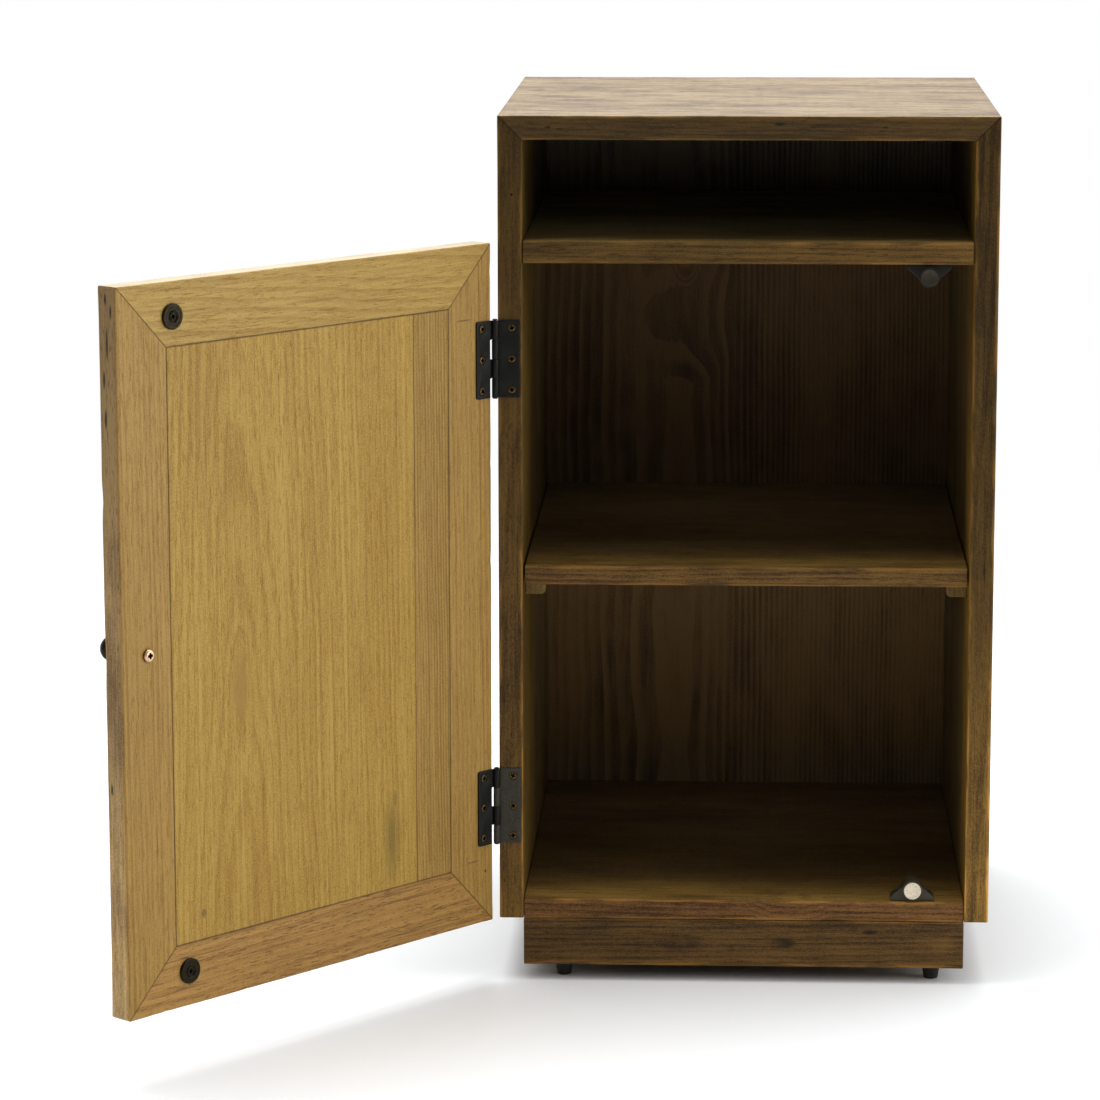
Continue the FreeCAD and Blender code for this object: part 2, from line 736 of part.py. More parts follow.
def catch(name, across, board, up):
    """A winged catch on the board face at height `board`; up is 1 standing on it, -1 hanging."""
    centre = board + up * S.magnet_from_board
    body = new_body(f"{name}_catch_housing")
    half = S.catch_width / 2
    shoulder = S.catch_shoulder_half
    start = FRONT + S.catch_setback
    end = start + S.catch_depth
    pad(body, FRONT_ON, [[
        (across - half, board),
        (across + half, board),
        (across + half, board + up * S.catch_tip_height),
        (across + shoulder, centre + up * S.catch_shoulder_rise),
        (across - shoulder, centre + up * S.catch_shoulder_rise),
        (across - half, board + up * S.catch_tip_height),
    ]], start, end)
    middle, length = span(CATCH_FACE, CATCH_FACE + S.catch_barrel_length)
    sketch = sketch_on(body, FRONT_ON, middle)
    draw_circle(sketch, across, centre, S.catch_barrel_radius)
    barrel = body.newObject("PartDesign::Pad", body.Name + "_barrel")
    barrel.Profile = sketch
    barrel.Midplane = True
    bind(barrel, "Length", length)
    doc.recompute()
    pocket(body, FRONT_ON, lambda drawing: draw_circle(drawing, across, centre, S.magnet_radius),
           CATCH_FACE - CUT_PAST, MAGNET_SEAT)
    seat = board + up * S.catch_tip_height
    screw_depth = start + S.catch_screw_setback
    places = [across + side * S.catch_screw_spacing / 2 for side in (-1, 1)]

    def draw_head_seats(drawing):
        for place in places:
            draw_circle(drawing, place, screw_depth, S.pan_head_radius + S.head_clearance)

    def draw_shank_holes(drawing):
        for place in places:
            draw_circle(drawing, place, screw_depth, S.flat_shank_radius)

    above = board + up * S.magnet_from_board
    low, high = (seat, above) if up > 0 else (above, seat)
    pocket(body, TOP_DOWN, draw_head_seats, low, high)
    low, high = (board, seat) if up > 0 else (seat, board)
    pocket(body, TOP_DOWN, draw_shank_holes, low - CUT_PAST, high + CUT_PAST)
    sub_part(f"{name}_catch_housing", body)

    magnet = new_body(f"{name}_catch_magnet")
    middle, length = span(MAGNET_FACE, MAGNET_SEAT)
    sketch = sketch_on(magnet, FRONT_ON, middle)
    draw_circle(sketch, across, centre, S.magnet_radius)
    disc = magnet.newObject("PartDesign::Pad", magnet.Name + "_pad")
    disc.Profile = sketch
    disc.Midplane = True
    bind(disc, "Length", length)
    doc.recompute()
    sub_part(f"{name}_catch_magnet", magnet)
    rotation = UP if up > 0 else HEAD_DOWN
    return [(place, screw_depth, seat, rotation) for place in places]


def catches():
    """The magnetic catch under the divider shelf and the one on the bottom board."""
    places = catch("upper", S.upper_magnet_across, S.divider_underside, -1)
    places += catch("lower", S.lower_magnet_across, FLOOR_BOARD_TOP, 1)
    copies("catch_screws", PAN_SCREW, places)


# ---------------------------------------------------------------- butt hinges

ROLL_INNER = S.barrel_radius - S.leaf_thickness
ROLL_END_DEPTH = 0.35  # height of the rolled edge's end above the pin's middle, as a share of the radius
KNUCKLE_COUNT = 4
HINGE_CENTRES = {"upper": S.upper_hinge_centre, "lower": S.lower_hinge_centre}


def draw_rolled_leaf(sketch, side):
    """A leaf's section: a plate whose edge is rolled round the pin, which stands at the origin.

    side is 1 when the plate lies behind the pin and -1 when it lies in front of it.
    """
    outer, inner = S.barrel_radius, ROLL_INNER
    lip_y = {radius: radius * ROLL_END_DEPTH for radius in (outer, inner)}
    lip_x = {radius: radius * (1 - ROLL_END_DEPTH**2) ** 0.5 for radius in (outer, inner)}
    edges = []

    def point(x, y):
        return Vector(Size.of(x).value, side * Size.of(y).value, 0)

    def line(start, end):
        edges.append((sketch.addGeometry(Part.LineSegment(point(*start), point(*end)), False), 1, 2))

    def roll(radius, start, end):
        """An arc round the pin; sketch arcs always run anticlockwise, so the ends may swap."""
        arc = Part.Arc(point(*start), point(-radius, 0), point(*end))
        swapped = arc.toShape().Curve.Axis.z < 0
        if swapped:
            arc = Part.Arc(point(*end), point(-radius, 0), point(*start))
        index = sketch.addGeometry(arc, False)
        sketch.addConstraint(Sketcher.Constraint("Coincident", index, 3, -1, 1))
        edges.append((index, 2, 1) if swapped else (index, 1, 2))

    root_outer, root_inner = (0, outer), (0, inner)
    lip_outer, lip_inner = (lip_x[outer], lip_y[outer]), (lip_x[inner], lip_y[inner])
    line((S.leaf_reach, outer), root_outer)
    roll(outer, root_outer, lip_outer)
    line(lip_outer, lip_inner)
    roll(inner, lip_inner, root_inner)
    line(root_inner, (S.leaf_reach, inner))
    line((S.leaf_reach, inner), (S.leaf_reach, outer))
    for index, (edge, _, end) in enumerate(edges):
        follower, start, _ = edges[(index + 1) % len(edges)]
        sketch.addConstraint(Sketcher.Constraint("Coincident", edge, end, follower, start))
    pin_point(sketch, edges[0][0], 1, S.leaf_reach, side * outer)
    pin_point(sketch, edges[0][0], 2, 0, side * outer)
    pin_point(sketch, edges[4][0], 1, 0, side * inner)
    pin_point(sketch, edges[4][0], 2, S.leaf_reach, side * inner)
    for end, radius in ((1, outer), (2, inner)):
        index = sketch.addConstraint(
            Sketcher.Constraint("DistanceY", -1, 1, edges[2][0], end, side * lip_y[radius].value)
        )
        bind(sketch, f"Constraints[{index}]", side * lip_y[radius])


def hinge_leaf(label, centre, side, own_knuckles):
    """A butt-hinge leaf with its own knuckles, counted from the top, and slots for the others."""
    body = new_body(label)
    bottom = centre - S.hinge_height / 2
    top = centre + S.hinge_height / 2
    middle, length = span(bottom, top)
    sketch = sketch_on(body, TOP_DOWN, middle)
    draw_rolled_leaf(sketch, side)
    plate = body.newObject("PartDesign::Pad", body.Name + "_pad")
    plate.Profile = sketch
    plate.Midplane = True
    bind(plate, "Length", length)
    doc.recompute()

    pitch = S.hinge_height / KNUCKLE_COUNT
    half_gap = S.knuckle_gap / 2

    def draw_slots(drawing):
        for number in range(KNUCKLE_COUNT):
            if number in own_knuckles:
                continue
            high = top - pitch * number
            low = high - pitch
            high = high + (CUT_PAST if number == 0 else half_gap)
            low = low - (CUT_PAST if number == KNUCKLE_COUNT - 1 else half_gap)
            left = -S.barrel_radius - CUT_PAST
            draw_polygon(drawing, rectangle(left, S.knuckle_slot_reach, low, high))

    reach = S.barrel_radius + CUT_PAST
    pocket(body, FRONT_ON, draw_slots, -reach, reach)

    def draw_shank_holes(drawing):
        for row in (-1, 0, 1):
            up = centre + row * S.leaf_screw_spacing
            draw_circle(drawing, S.leaf_screw_offset, up, S.flat_shank_radius)

    pocket(body, FRONT_ON, draw_shank_holes, -reach, reach)
    volume_before = body.Tip.Shape.Volume
    into_leaf = HEAD_TO_BACK if side > 0 else HEAD_TO_FRONT
    for row in (-1, 0, 1):
        up = centre + row * S.leaf_screw_spacing
        countersink(body, S.leaf_screw_offset, side * ROLL_INNER, up, into_leaf)
    doc.recompute()
    if not body.Tip.Shape.Volume < volume_before:
        raise RuntimeError(f"{label} has no countersinks")
    return sub_part(label, body)


def hinge_pin(label, centre):
    """A pin with a button head at each end, just clear of the end knuckles."""
    half = S.hinge_height / 2
    tip = half + S.pin_head_height
    body = turned(label, [
        (0, -tip),
        (S.pin_head_radius, -tip),
        (S.pin_head_radius, -half),
        (S.pin_radius, -half),
        (S.pin_radius, half + S.knuckle_gap),
        (S.pin_head_radius, half + S.knuckle_gap),
        (S.pin_head_radius, tip + S.knuckle_gap),
        (0, tip + S.knuckle_gap),
    ])
    bind_place(body, PIN_X, PIN_Y, centre)
    sub_part(label, body)


def hinges():
    """Two hinges: on each the door has the first and third knuckles, the case the others."""
    case_screws, door_screws = [], []
    for name, centre in HINGE_CENTRES.items():
        case_leaf = hinge_leaf(f"{name}_hinge_case_leaf", centre, 1, (1, 3))
        bind_place(case_leaf, PIN_X, PIN_Y, 0)
        hang_on_door(hinge_leaf(f"{name}_hinge_door_leaf", centre, -1, (0, 2)))
        hinge_pin(f"{name}_hinge_pin", centre)
        for row in (-1, 0, 1):
            up = centre + row * S.leaf_screw_spacing
            across = PIN_X + S.leaf_screw_offset
            case_screws.append((across, PIN_Y + ROLL_INNER, up, HEAD_TO_FRONT))
            door_screws.append((S.leaf_screw_offset, -ROLL_INNER, up, HEAD_TO_BACK))
    copies("case_hinge_screws", FLAT_SCREW, case_screws)
    hang_on_door(copies("door_hinge_screws", FLAT_SCREW, door_screws))


# ---------------------------------------------------------------- door

PANEL_LEFT = DOOR_LEFT + S.frame_width
PANEL_RIGHT = DOOR_RIGHT - S.frame_width
PANEL_BOTTOM = DOOR_BOTTOM + S.frame_width
PANEL_TOP = DOOR_TOP - S.frame_width
PANEL_JOINT = PANEL_LEFT + S.narrow_board_width
KNOB_HEIGHT = DOOR_BOTTOM + S.door_height / 2
GROOVE_FRONT = DOOR_MIDDLE - S.groove_width / 2
GROOVE_BACK = DOOR_MIDDLE + S.groove_width / 2
GROOVE_OUTLINE = rectangle(
    PANEL_LEFT - S.groove_depth,
    PANEL_RIGHT + S.groove_depth,
    PANEL_BOTTOM - S.groove_depth,
    PANEL_TOP + S.groove_depth,
)


def door_tongue_outline(right, up):
    """A loose tongue laid square across one mitre; right and up are 1 or -1 and name the corner."""
    corner_x = DOOR_RIGHT if right > 0 else DOOR_LEFT
    corner_z = DOOR_TOP if up > 0 else DOOR_BOTTOM
    near = S.door_tongue_inset + S.door_tongue_length / 2
    half_long = S.door_tongue_length / 2 * ROOT_HALF
    half_wide = S.door_tongue_width / 2 * ROOT_HALF
    centre = near * ROOT_HALF + S.door_tongue_width / 2 * ROOT_HALF
    corners = []
    for long, wide in ((-1, -1), (1, -1), (1, 1), (-1, 1)):
        across = corner_x - right * (centre + long * half_long + wide * half_wide)
        height = corner_z - up * (centre + long * half_long - wide * half_wide)
        corners.append((across, height))
    return corners


def door_frame_member(label, outline, corners, outer_edge):
    """A mitred stile or rail, grooved for the panel and slotted for its two loose tongues."""
    body = new_body(label)
    pad(body, FRONT_ON, [outline], DOOR_OUTER_FACE, DOOR_INNER_FACE)
    pocket_polygon(body, FRONT_ON, GROOVE_OUTLINE, GROOVE_FRONT, GROOVE_BACK)
    for right, up in corners:
        slot = door_tongue_outline(right, up)
        pocket_polygon(body, FRONT_ON, slot, GROOVE_FRONT, GROOVE_BACK)
    if label == "door_free_stile":
        hole = (DOOR_RIGHT - S.knob_from_edge, KNOB_HEIGHT, S.knob_screw_radius)
        pocket(body, FRONT_ON, lambda sketch: draw_circle(sketch, *hole),
               DOOR_OUTER_FACE - CUT_PAST, DOOR_INNER_FACE + CUT_PAST)
    ease_edges(body, S.door_arris_radius, outer_edge)
    hang_on_door(sub_part(label, body))


def door_frame():
    """Two stiles and two rails, mitred at the corners."""
    corner = {
        (right, up): (DOOR_RIGHT if right > 0 else DOOR_LEFT, DOOR_TOP if up > 0 else DOOR_BOTTOM)
        for right in (-1, 1) for up in (-1, 1)
    }
    mitre = {
        (right, up): (PANEL_RIGHT if right > 0 else PANEL_LEFT, PANEL_TOP if up > 0 else PANEL_BOTTOM)
        for right in (-1, 1) for up in (-1, 1)
    }
    members = {
        "door_hinge_stile": ((-1, -1), (-1, 1), along("z", on_plane("x", DOOR_LEFT))),
        "door_free_stile": ((1, -1), (1, 1), along("z", on_plane("x", DOOR_RIGHT))),
        "door_bottom_rail": ((-1, -1), (1, -1), along("x", on_plane("z", DOOR_BOTTOM))),
        "door_top_rail": ((-1, 1), (1, 1), along("x", on_plane("z", DOOR_TOP))),
    }
    for label, (first, second, outer_edge) in members.items():
        outline = [corner[first], corner[second], mitre[second], mitre[first]]
        door_frame_member(label, outline, (first, second), outer_edge)
    tongues = []
    for key in corner:
        body = new_body("door_tongue")
        pad(body, FRONT_ON, [door_tongue_outline(*key)], GROOVE_FRONT, GROOVE_BACK)
        tongues.append(body)
    group = doc.addObject("Part::Compound", "door_mitre_tongues")
    group.Links = tongues
    hang_on_door(sub_part("door_mitre_tongues", group))


def door_panel_boards():
    """Two boards edge-glued with a tongue and groove, and tongued all round into the frame."""
    depth = S.groove_depth
    narrow = (PANEL_LEFT, PANEL_JOINT, PANEL_LEFT - depth, PANEL_JOINT + depth)
    wide = (PANEL_JOINT, PANEL_RIGHT, PANEL_JOINT + depth, PANEL_RIGHT + depth)
    for label, board in (("door_panel_narrow_board", narrow), ("door_panel_wide_board", wide)):
        left, right, tongue_left, tongue_right = board
        body = new_body(label)
        face = rectangle(left, right, PANEL_BOTTOM, PANEL_TOP)
        pad(body, FRONT_ON, [face], DOOR_OUTER_FACE, DOOR_INNER_FACE)
        if board is wide:
            groove = rectangle(PANEL_JOINT - CUT_PAST, PANEL_JOINT + depth,
                               PANEL_BOTTOM - CUT_PAST, PANEL_TOP + CUT_PAST)
            pocket_polygon(body, FRONT_ON, groove, GROOVE_FRONT, GROOVE_BACK)
        tongue = rectangle(tongue_left, tongue_right, PANEL_BOTTOM - depth, PANEL_TOP + depth)
        pad(body, FRONT_ON, [tongue], GROOVE_FRONT, GROOVE_BACK)
        hang_on_door(sub_part(label, body))


def door_knob():
    """A mushroom knob on the outer face, its screw coming through the stile from inside."""
    body = new_body("door_knob")
    sketch = sketch_on(body, FRONT_ON)
    base = DOOR_OUTER_FACE
    rim = S.knob_projection - S.knob_crown_height
    under = rim - S.knob_rim_height
    bore = S.knob_screw_radius
    grip = S.knob_screw_grip
    straight = [
        (0, grip),
        (bore, grip),
        (bore, 0),
        (S.knob_foot_radius, 0),
        (S.knob_foot_radius, S.knob_foot_height),
        (S.knob_neck_radius, S.knob_foot_height + S.knob_foot_slope),
        (S.knob_neck_radius, under - S.knob_cove_height),
        (S.knob_radius - S.knob_lip, under),
        (S.knob_radius, under + S.knob_lip),
        (S.knob_radius, rim),
    ]
    places = [Vector(Size.of(radius).value, Size.of(height).value, 0) for radius, height in straight]
    for start, end in zip(places, places[1:]):
        sketch.addGeometry(Part.LineSegment(start, end), False)
    for index in range(len(straight) - 2):
        sketch.addConstraint(Sketcher.Constraint("Coincident", index, 2, index + 1, 1))
    for index, (radius, height) in enumerate(straight[:-1]):
        pin_point(sketch, index, 1, radius, height)
    last = len(straight) - 2
    pin_point(sketch, last, 2, *straight[-1])
    # the crown: an arc from the rim to the top of the knob, centred on the knob's axis
    rise, half = S.knob_crown_height, S.knob_radius
    crown_radius = (half * half + rise * rise) / (rise * 2)
    crown_centre = S.knob_projection - crown_radius
    top = Vector(0, S.knob_projection.value, 0)
    slope = Vector(half.value / 2, 0, 0)
    slope.y = crown_centre.value + (crown_radius.value**2 - slope.x**2) ** 0.5
    crown = sketch.addGeometry(Part.Arc(places[-1], slope, top), False)
    starts_at_rim = (sketch.Geometry[crown].StartPoint - places[-1]).Length < NEAR
    rim_end, top_end = (1, 2) if starts_at_rim else (2, 1)
    sketch.addConstraint(Sketcher.Constraint("Coincident", last, 2, crown, rim_end))
    sketch.addConstraint(Sketcher.Constraint("PointOnObject", crown, 3, -2))
    pin_point(sketch, crown, top_end, 0, S.knob_projection)
    axis_line = sketch.addGeometry(Part.LineSegment(top, places[0]), False)
    sketch.addConstraint(Sketcher.Constraint("Coincident", crown, top_end, axis_line, 1))
    sketch.addConstraint(Sketcher.Constraint("Coincident", axis_line, 2, 0, 1))
    knob = body.newObject("PartDesign::Revolution", body.Name + "_revolution")
    knob.Profile = sketch
    knob.ReferenceAxis = (sketch, ["V_Axis"])
    knob.Angle = 360
    doc.recompute()
    across = DOOR_RIGHT - S.knob_from_edge
    hang_on_door(copies("door_knob", body, [(across, base, KNOB_HEIGHT, HEAD_TO_FRONT)]))

    head, shank = S.knob_screw_head_radius, S.knob_screw_radius
    length = S.door_thickness + S.knob_screw_grip
    screw = turned("knob_screw", [
        (0, S.knob_screw_head_height),
        (head * CROWN_SHARE, S.knob_screw_head_height),
        (head, S.knob_screw_head_height * SHOULDER_SHARE),
        (head, 0),
        (shank, 0),
        (shank, -length),
        (0, -length),
    ])
    place = (across, DOOR_INNER_FACE, KNOB_HEIGHT, HEAD_TO_BACK)
    hang_on_door(copies("knob_screw", screw, [place]))


def strike_discs():
    """A countersunk steel disc on the door's inner face opposite each magnet."""
    screws = []
    heights = {
        "upper": (S.upper_magnet_across, S.divider_underside - S.magnet_from_board),
        "lower": (S.lower_magnet_across, FLOOR_BOARD_TOP + S.magnet_from_board),
    }
    thick, bevel = S.strike_thickness, S.strike_bevel
    disc = turned("strike_disc", [
        (S.flat_shank_radius, 0),
        (S.strike_radius, 0),
        (S.strike_radius, thick - bevel),
        (S.strike_radius - bevel, thick),
        (S.flat_head_radius, thick),
        (S.flat_shank_radius, thick - S.flat_head_depth),
    ])
    for name, (across, up) in heights.items():
        shut_x = across - PIN_X
        place = (shut_x, DOOR_INNER_FACE, up, HEAD_TO_BACK)
        hang_on_door(copies(f"{name}_strike_disc", disc, [place]))
        screws.append((shut_x, DOOR_INNER_FACE + thick, up, HEAD_TO_BACK))
    hang_on_door(copies("strike_screws", FLAT_SCREW, screws))


# ---------------------------------------------------------------- build, check and write


def build():
    """Make every sub-part of the table."""
    top_panel()
    side_panel("left_side_panel", -1)
    side_panel("right_side_panel", 1)
    case_mitre_tongues()
    fixed_board("divider_shelf", S.divider_underside, S.divider_thickness)
    fixed_board("bottom_board", S.case_underside, S.bottom_board_thickness)
    back_panel()
    shelf_cleat("shelf_cleat_left", -1, bevelled=True)
    shelf_cleat("shelf_cleat_right", 1, bevelled=False)
    cleat_screws()
    middle_shelf()
    plinth()
    feet()
    catches()
    hinges()
    door_frame()
    door_panel_boards()
    door_knob()
    strike_discs()


def check():
    """Stop if any object of the document failed or any sub-part has no valid solid."""
    doc.recompute()
    for obj in doc.Objects:
        if {"Invalid", "Error"} & set(obj.State):
            raise RuntimeError(f"{obj.Label} is {obj.State}")
    for obj in SUB_PARTS:
        shape = obj.Shape
        if shape.isNull() or not shape.isValid() or not shape.Solids:
            raise RuntimeError(f"{obj.Label} has no valid solid")


def write():
    """Write each sub-part to its own STEP file."""
    os.makedirs("parts", exist_ok=True)
    for obj in SUB_PARTS:
        obj.Shape.exportStep(os.path.join("parts", f"{obj.Label}.step"))
        box = obj.Shape.BoundBox
        print(f"{obj.Label}: {len(obj.Shape.Solids)} solid(s), {obj.Shape.Volume / 1000:.2f} cm3, "
              f"x {box.XMin:.1f}..{box.XMax:.1f} y {box.YMin:.1f}..{box.YMax:.1f} "
              f"z {box.ZMin:.1f}..{box.ZMax:.1f}")


build()
check()
write()
print(f"{len(SUB_PARTS)} sub-parts written")
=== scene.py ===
"""Storage side table with a door: worn stained case, honey-coloured door and dark ironmongery.

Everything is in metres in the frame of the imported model: the floor is z = 0, +X is to the right
as seen from the front and +Y runs to the back.  Pieces of the door are drawn with the door shut,
with the hinge pin as their Z axis, and are then turned open about the pin.
"""
import json
import logging
import math
from collections.abc import Callable, Sequence
from dataclasses import dataclass, field
from enum import Enum

import bmesh
import bpy
import numpy as np
from mathutils import Matrix, Vector


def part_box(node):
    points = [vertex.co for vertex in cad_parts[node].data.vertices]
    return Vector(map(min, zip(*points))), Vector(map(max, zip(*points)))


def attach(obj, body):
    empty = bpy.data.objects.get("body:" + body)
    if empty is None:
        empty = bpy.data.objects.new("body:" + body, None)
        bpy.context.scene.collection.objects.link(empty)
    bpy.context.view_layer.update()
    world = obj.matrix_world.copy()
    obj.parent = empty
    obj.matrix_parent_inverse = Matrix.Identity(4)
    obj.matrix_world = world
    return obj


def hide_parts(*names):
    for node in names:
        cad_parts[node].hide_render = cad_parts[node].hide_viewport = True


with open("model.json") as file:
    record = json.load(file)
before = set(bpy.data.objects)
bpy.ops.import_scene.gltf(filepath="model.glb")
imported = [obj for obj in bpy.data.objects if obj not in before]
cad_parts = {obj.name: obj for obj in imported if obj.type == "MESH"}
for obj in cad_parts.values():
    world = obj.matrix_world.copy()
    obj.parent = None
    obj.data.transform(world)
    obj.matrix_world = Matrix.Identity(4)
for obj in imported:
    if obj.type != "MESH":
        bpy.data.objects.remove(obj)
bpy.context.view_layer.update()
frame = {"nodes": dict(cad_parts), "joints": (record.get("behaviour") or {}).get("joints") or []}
LOG = logging.getLogger("side_table")

MM = 0.001
Point = tuple[float, float, float]
Colour = tuple[float, float, float, float]
Flat = tuple[float, float]  # a place on a flat outline
Ease = tuple[float, float]  # the radius of a board's arris, and how worn it is
Ring = tuple[float, float, int]  # how far a ring is inset and from an end, and which end; 2 is between
Trim = Callable[[np.ndarray, np.ndarray, np.ndarray], None]  # moves a board's points in place

# How finely the wood is modelled.
ARC_STEPS = 4
RING_SPACING = 3.0 * MM
FACE_SPACING = 6.0 * MM
NEAR_ARRIS = (0.7 * MM, 1.8 * MM, 4.0 * MM)
NEAR_END = (0.5 * MM, 1.1 * MM, 1.8 * MM, 2.8 * MM)
JOINT_EASING = 0.35 * MM
WEAR_REACH = 0.7 * MM
GRIME_REACH = 0.3 * MM
HOLLOW_DEPTH = 0.12 * MM
PHOTO_SIZE = 1100
SENSOR = 36.0


# ---------------------------------------------------------------- names


class Body(Enum):
    """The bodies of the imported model."""

    CASE = "case"
    SHELF = "shelf"
    DOOR = "door"


class Slot(Enum):
    """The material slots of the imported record."""

    CASE_WOOD = "case_wood"
    DOOR_WOOD = "door_wood"
    FOOT = "foot_plastic"
    CATCH = "catch_plastic"
    MAGNET = "magnet_nickel"
    HINGE = "hinge_iron"
    BRASS = "antique_brass"
    ZINC = "zinc_screw"
    KNOB = "knob_bronze"


class Axis(Enum):
    """The three directions of the frame."""

    X = 0
    Y = 1
    Z = 2


X, Y, Z = Axis


# ---------------------------------------------------------------- places


@dataclass(frozen=True)
class Pin:
    """The line that the door turns about, and the angle at which it stands open."""

    x: float
    y: float
    angle: float

    @classmethod
    def of_door(cls) -> "Pin":
        """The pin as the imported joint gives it."""
        joint = next(j for j in frame["joints"] if j["name"] == "door_hinge")
        x, y, _ = joint["pos_m"]
        return cls(x, y, math.radians(-joint["range_deg"][0]))

    def opened(self, points: np.ndarray) -> np.ndarray:
        """Turn places on the shut door to where they are on the open one.

        Args:
            points: rows of x, y, z measured from the pin with the door shut.

        Returns:
            Rows of x, y, z in the frame of the model.
        """
        cos, sin = math.cos(self.angle), math.sin(self.angle)
        across, back = points[:, 0], points[:, 1]
        x, y = self.x + across * cos + back * sin, self.y - across * sin + back * cos
        return np.column_stack([x, y, points[:, 2]])

    def shut(self, points: np.ndarray) -> np.ndarray:
        """Turn places on the open door back to where they are with the door shut.

        Args:
            points: rows of x, y, z in the frame of the model.

        Returns:
            Rows of x, y, z measured from the pin.
        """
        cos, sin = math.cos(self.angle), math.sin(self.angle)
        across, back = points[:, 0] - self.x, points[:, 1] - self.y
        return np.column_stack([across * cos - back * sin, across * sin + back * cos, points[:, 2]])

    def spot(self, across: float, through: float, height: float) -> Point:
        """Where a place on the shut door is once the door is open."""
        return tuple(self.opened(np.array([[across, through, height]]))[0])

    def facing(self) -> Point:
        """The direction that the open door's inner face looks in."""
        return (math.sin(self.angle), math.cos(self.angle), 0.0)

    def matrix(self) -> Matrix:
        """The turn from the shut door's own frame to the frame of the model."""
        return Matrix.Translation((self.x, self.y, 0)) @ Matrix.Rotation(-self.angle, 4, "Z")


@dataclass(frozen=True)
class Box:
    """The lowest and highest corners of a node, in its own body's upright frame."""

    low: Vector
    high: Vector

    @property
    def middle(self) -> Vector:
        """The middle of the box."""
        return (self.low + self.high) / 2

    @classmethod
    def of(cls, node: str, pin: Pin | None = None) -> "Box":
        """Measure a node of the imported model.

        Args:
            node: the node's name.
            pin: the hinge pin, for a node of the door, which is measured with the door shut.

        Returns:
            The node's box.
        """
        if pin is None:
            return cls(*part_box(node))
        mesh = frame["nodes"][node].data
        points = np.empty(len(mesh.vertices) * 3, np.float32)
        mesh.vertices.foreach_get("co", points)
        points = pin.shut(points.reshape(-1, 3).astype(float))
        return cls(Vector(points.min(0)), Vector(points.max(0)))


@dataclass(frozen=True)
class Lay:
    """How a board lies: along its grain, across its face and through its thickness."""

    along: Axis
    across: Axis
    through: Axis
    pin: Pin | None = None

    def place(self, along: np.ndarray, across: np.ndarray, through: np.ndarray) -> np.ndarray:
        """Rows of x, y, z for places given along, across and through the board."""
        points = np.empty((len(along), 3))
        for axis, values in ((self.along, along), (self.across, across), (self.through, through)):
            points[:, axis.value] = values
        return self.pin.opened(points) if self.pin else points


FLAT_LAY = Lay(X, Y, Z)
UPRIGHT_LAY = Lay(Z, Y, X)
BACK_LAY = Lay(Z, X, Y)
CLEAT_LAY = Lay(Y, X, Z)
PLINTH_LAY = Lay(X, Z, Y)
PLINTH_SIDE_LAY = Lay(Y, Z, X)


class Chance:
    """Smooth chance values from a fixed seed."""

    def __init__(self, seed: int) -> None:
        """Start from a seed."""
        self.random = np.random.default_rng(seed)

    @staticmethod
    def _steps(places: np.ndarray, wavelength: float) -> tuple[np.ndarray, np.ndarray, int]:
        """The knot before each place, the smoothed share of the way to the next, and the knots' count."""
        steps = (places - places.min()) / wavelength
        first = steps.astype(int)
        share = steps - first
        return first, share * share * (3 - 2 * share), int(steps.max()) + 2

    def line(self, places: np.ndarray, wavelength: float) -> np.ndarray:
        """Chance values from -1 to 1 that swing smoothly along a line.

        Args:
            places: positions along the line, in metres.
            wavelength: how far apart the swings are.

        Returns:
            One value for each place.
        """
        first, share, count = self._steps(places, wavelength)
        knots = self.random.uniform(-1, 1, count)
        return knots[first] * (1 - share) + knots[first + 1] * share

    def sheet(self, rows: np.ndarray, columns: np.ndarray, long: float, short: float) -> np.ndarray:
        """Chance values from -1 to 1 over a sheet.

        Args:
            rows: positions along the grain.
            columns: positions round the board.
            long: how far apart the swings are along the grain.
            short: how far apart they are round the board.

        Returns:
            An array with one value for each row and column.
        """
        (i, a, down), (j, b, round_board) = self._steps(rows, long), self._steps(columns, short)
        knots = self.random.uniform(-1, 1, (down, round_board))
        i, a, j, b = i[:, None], a[:, None], j[None, :], b[None, :]
        near = knots[i, j] * (1 - b) + knots[i, j + 1] * b
        far = knots[i + 1, j] * (1 - b) + knots[i + 1, j + 1] * b
        return near * (1 - a) + far * a


# ---------------------------------------------------------------- shader maths


def _operator(operation: str, reflected: bool = False) -> Callable[["Signal", object], "Signal"]:
    """A method of Signal that overloads one arithmetic operator, or its reflected form.

    Args:
        operation: the node's operation.
        reflected: whether the signal is the right operand.

    Returns:
        The method.
    """

    def method(self: "Signal", other: object) -> "Signal":
        """One node over the signal and the other operand."""
        return self.join(operation, other, self) if reflected else self.join(operation, self, other)

    return method


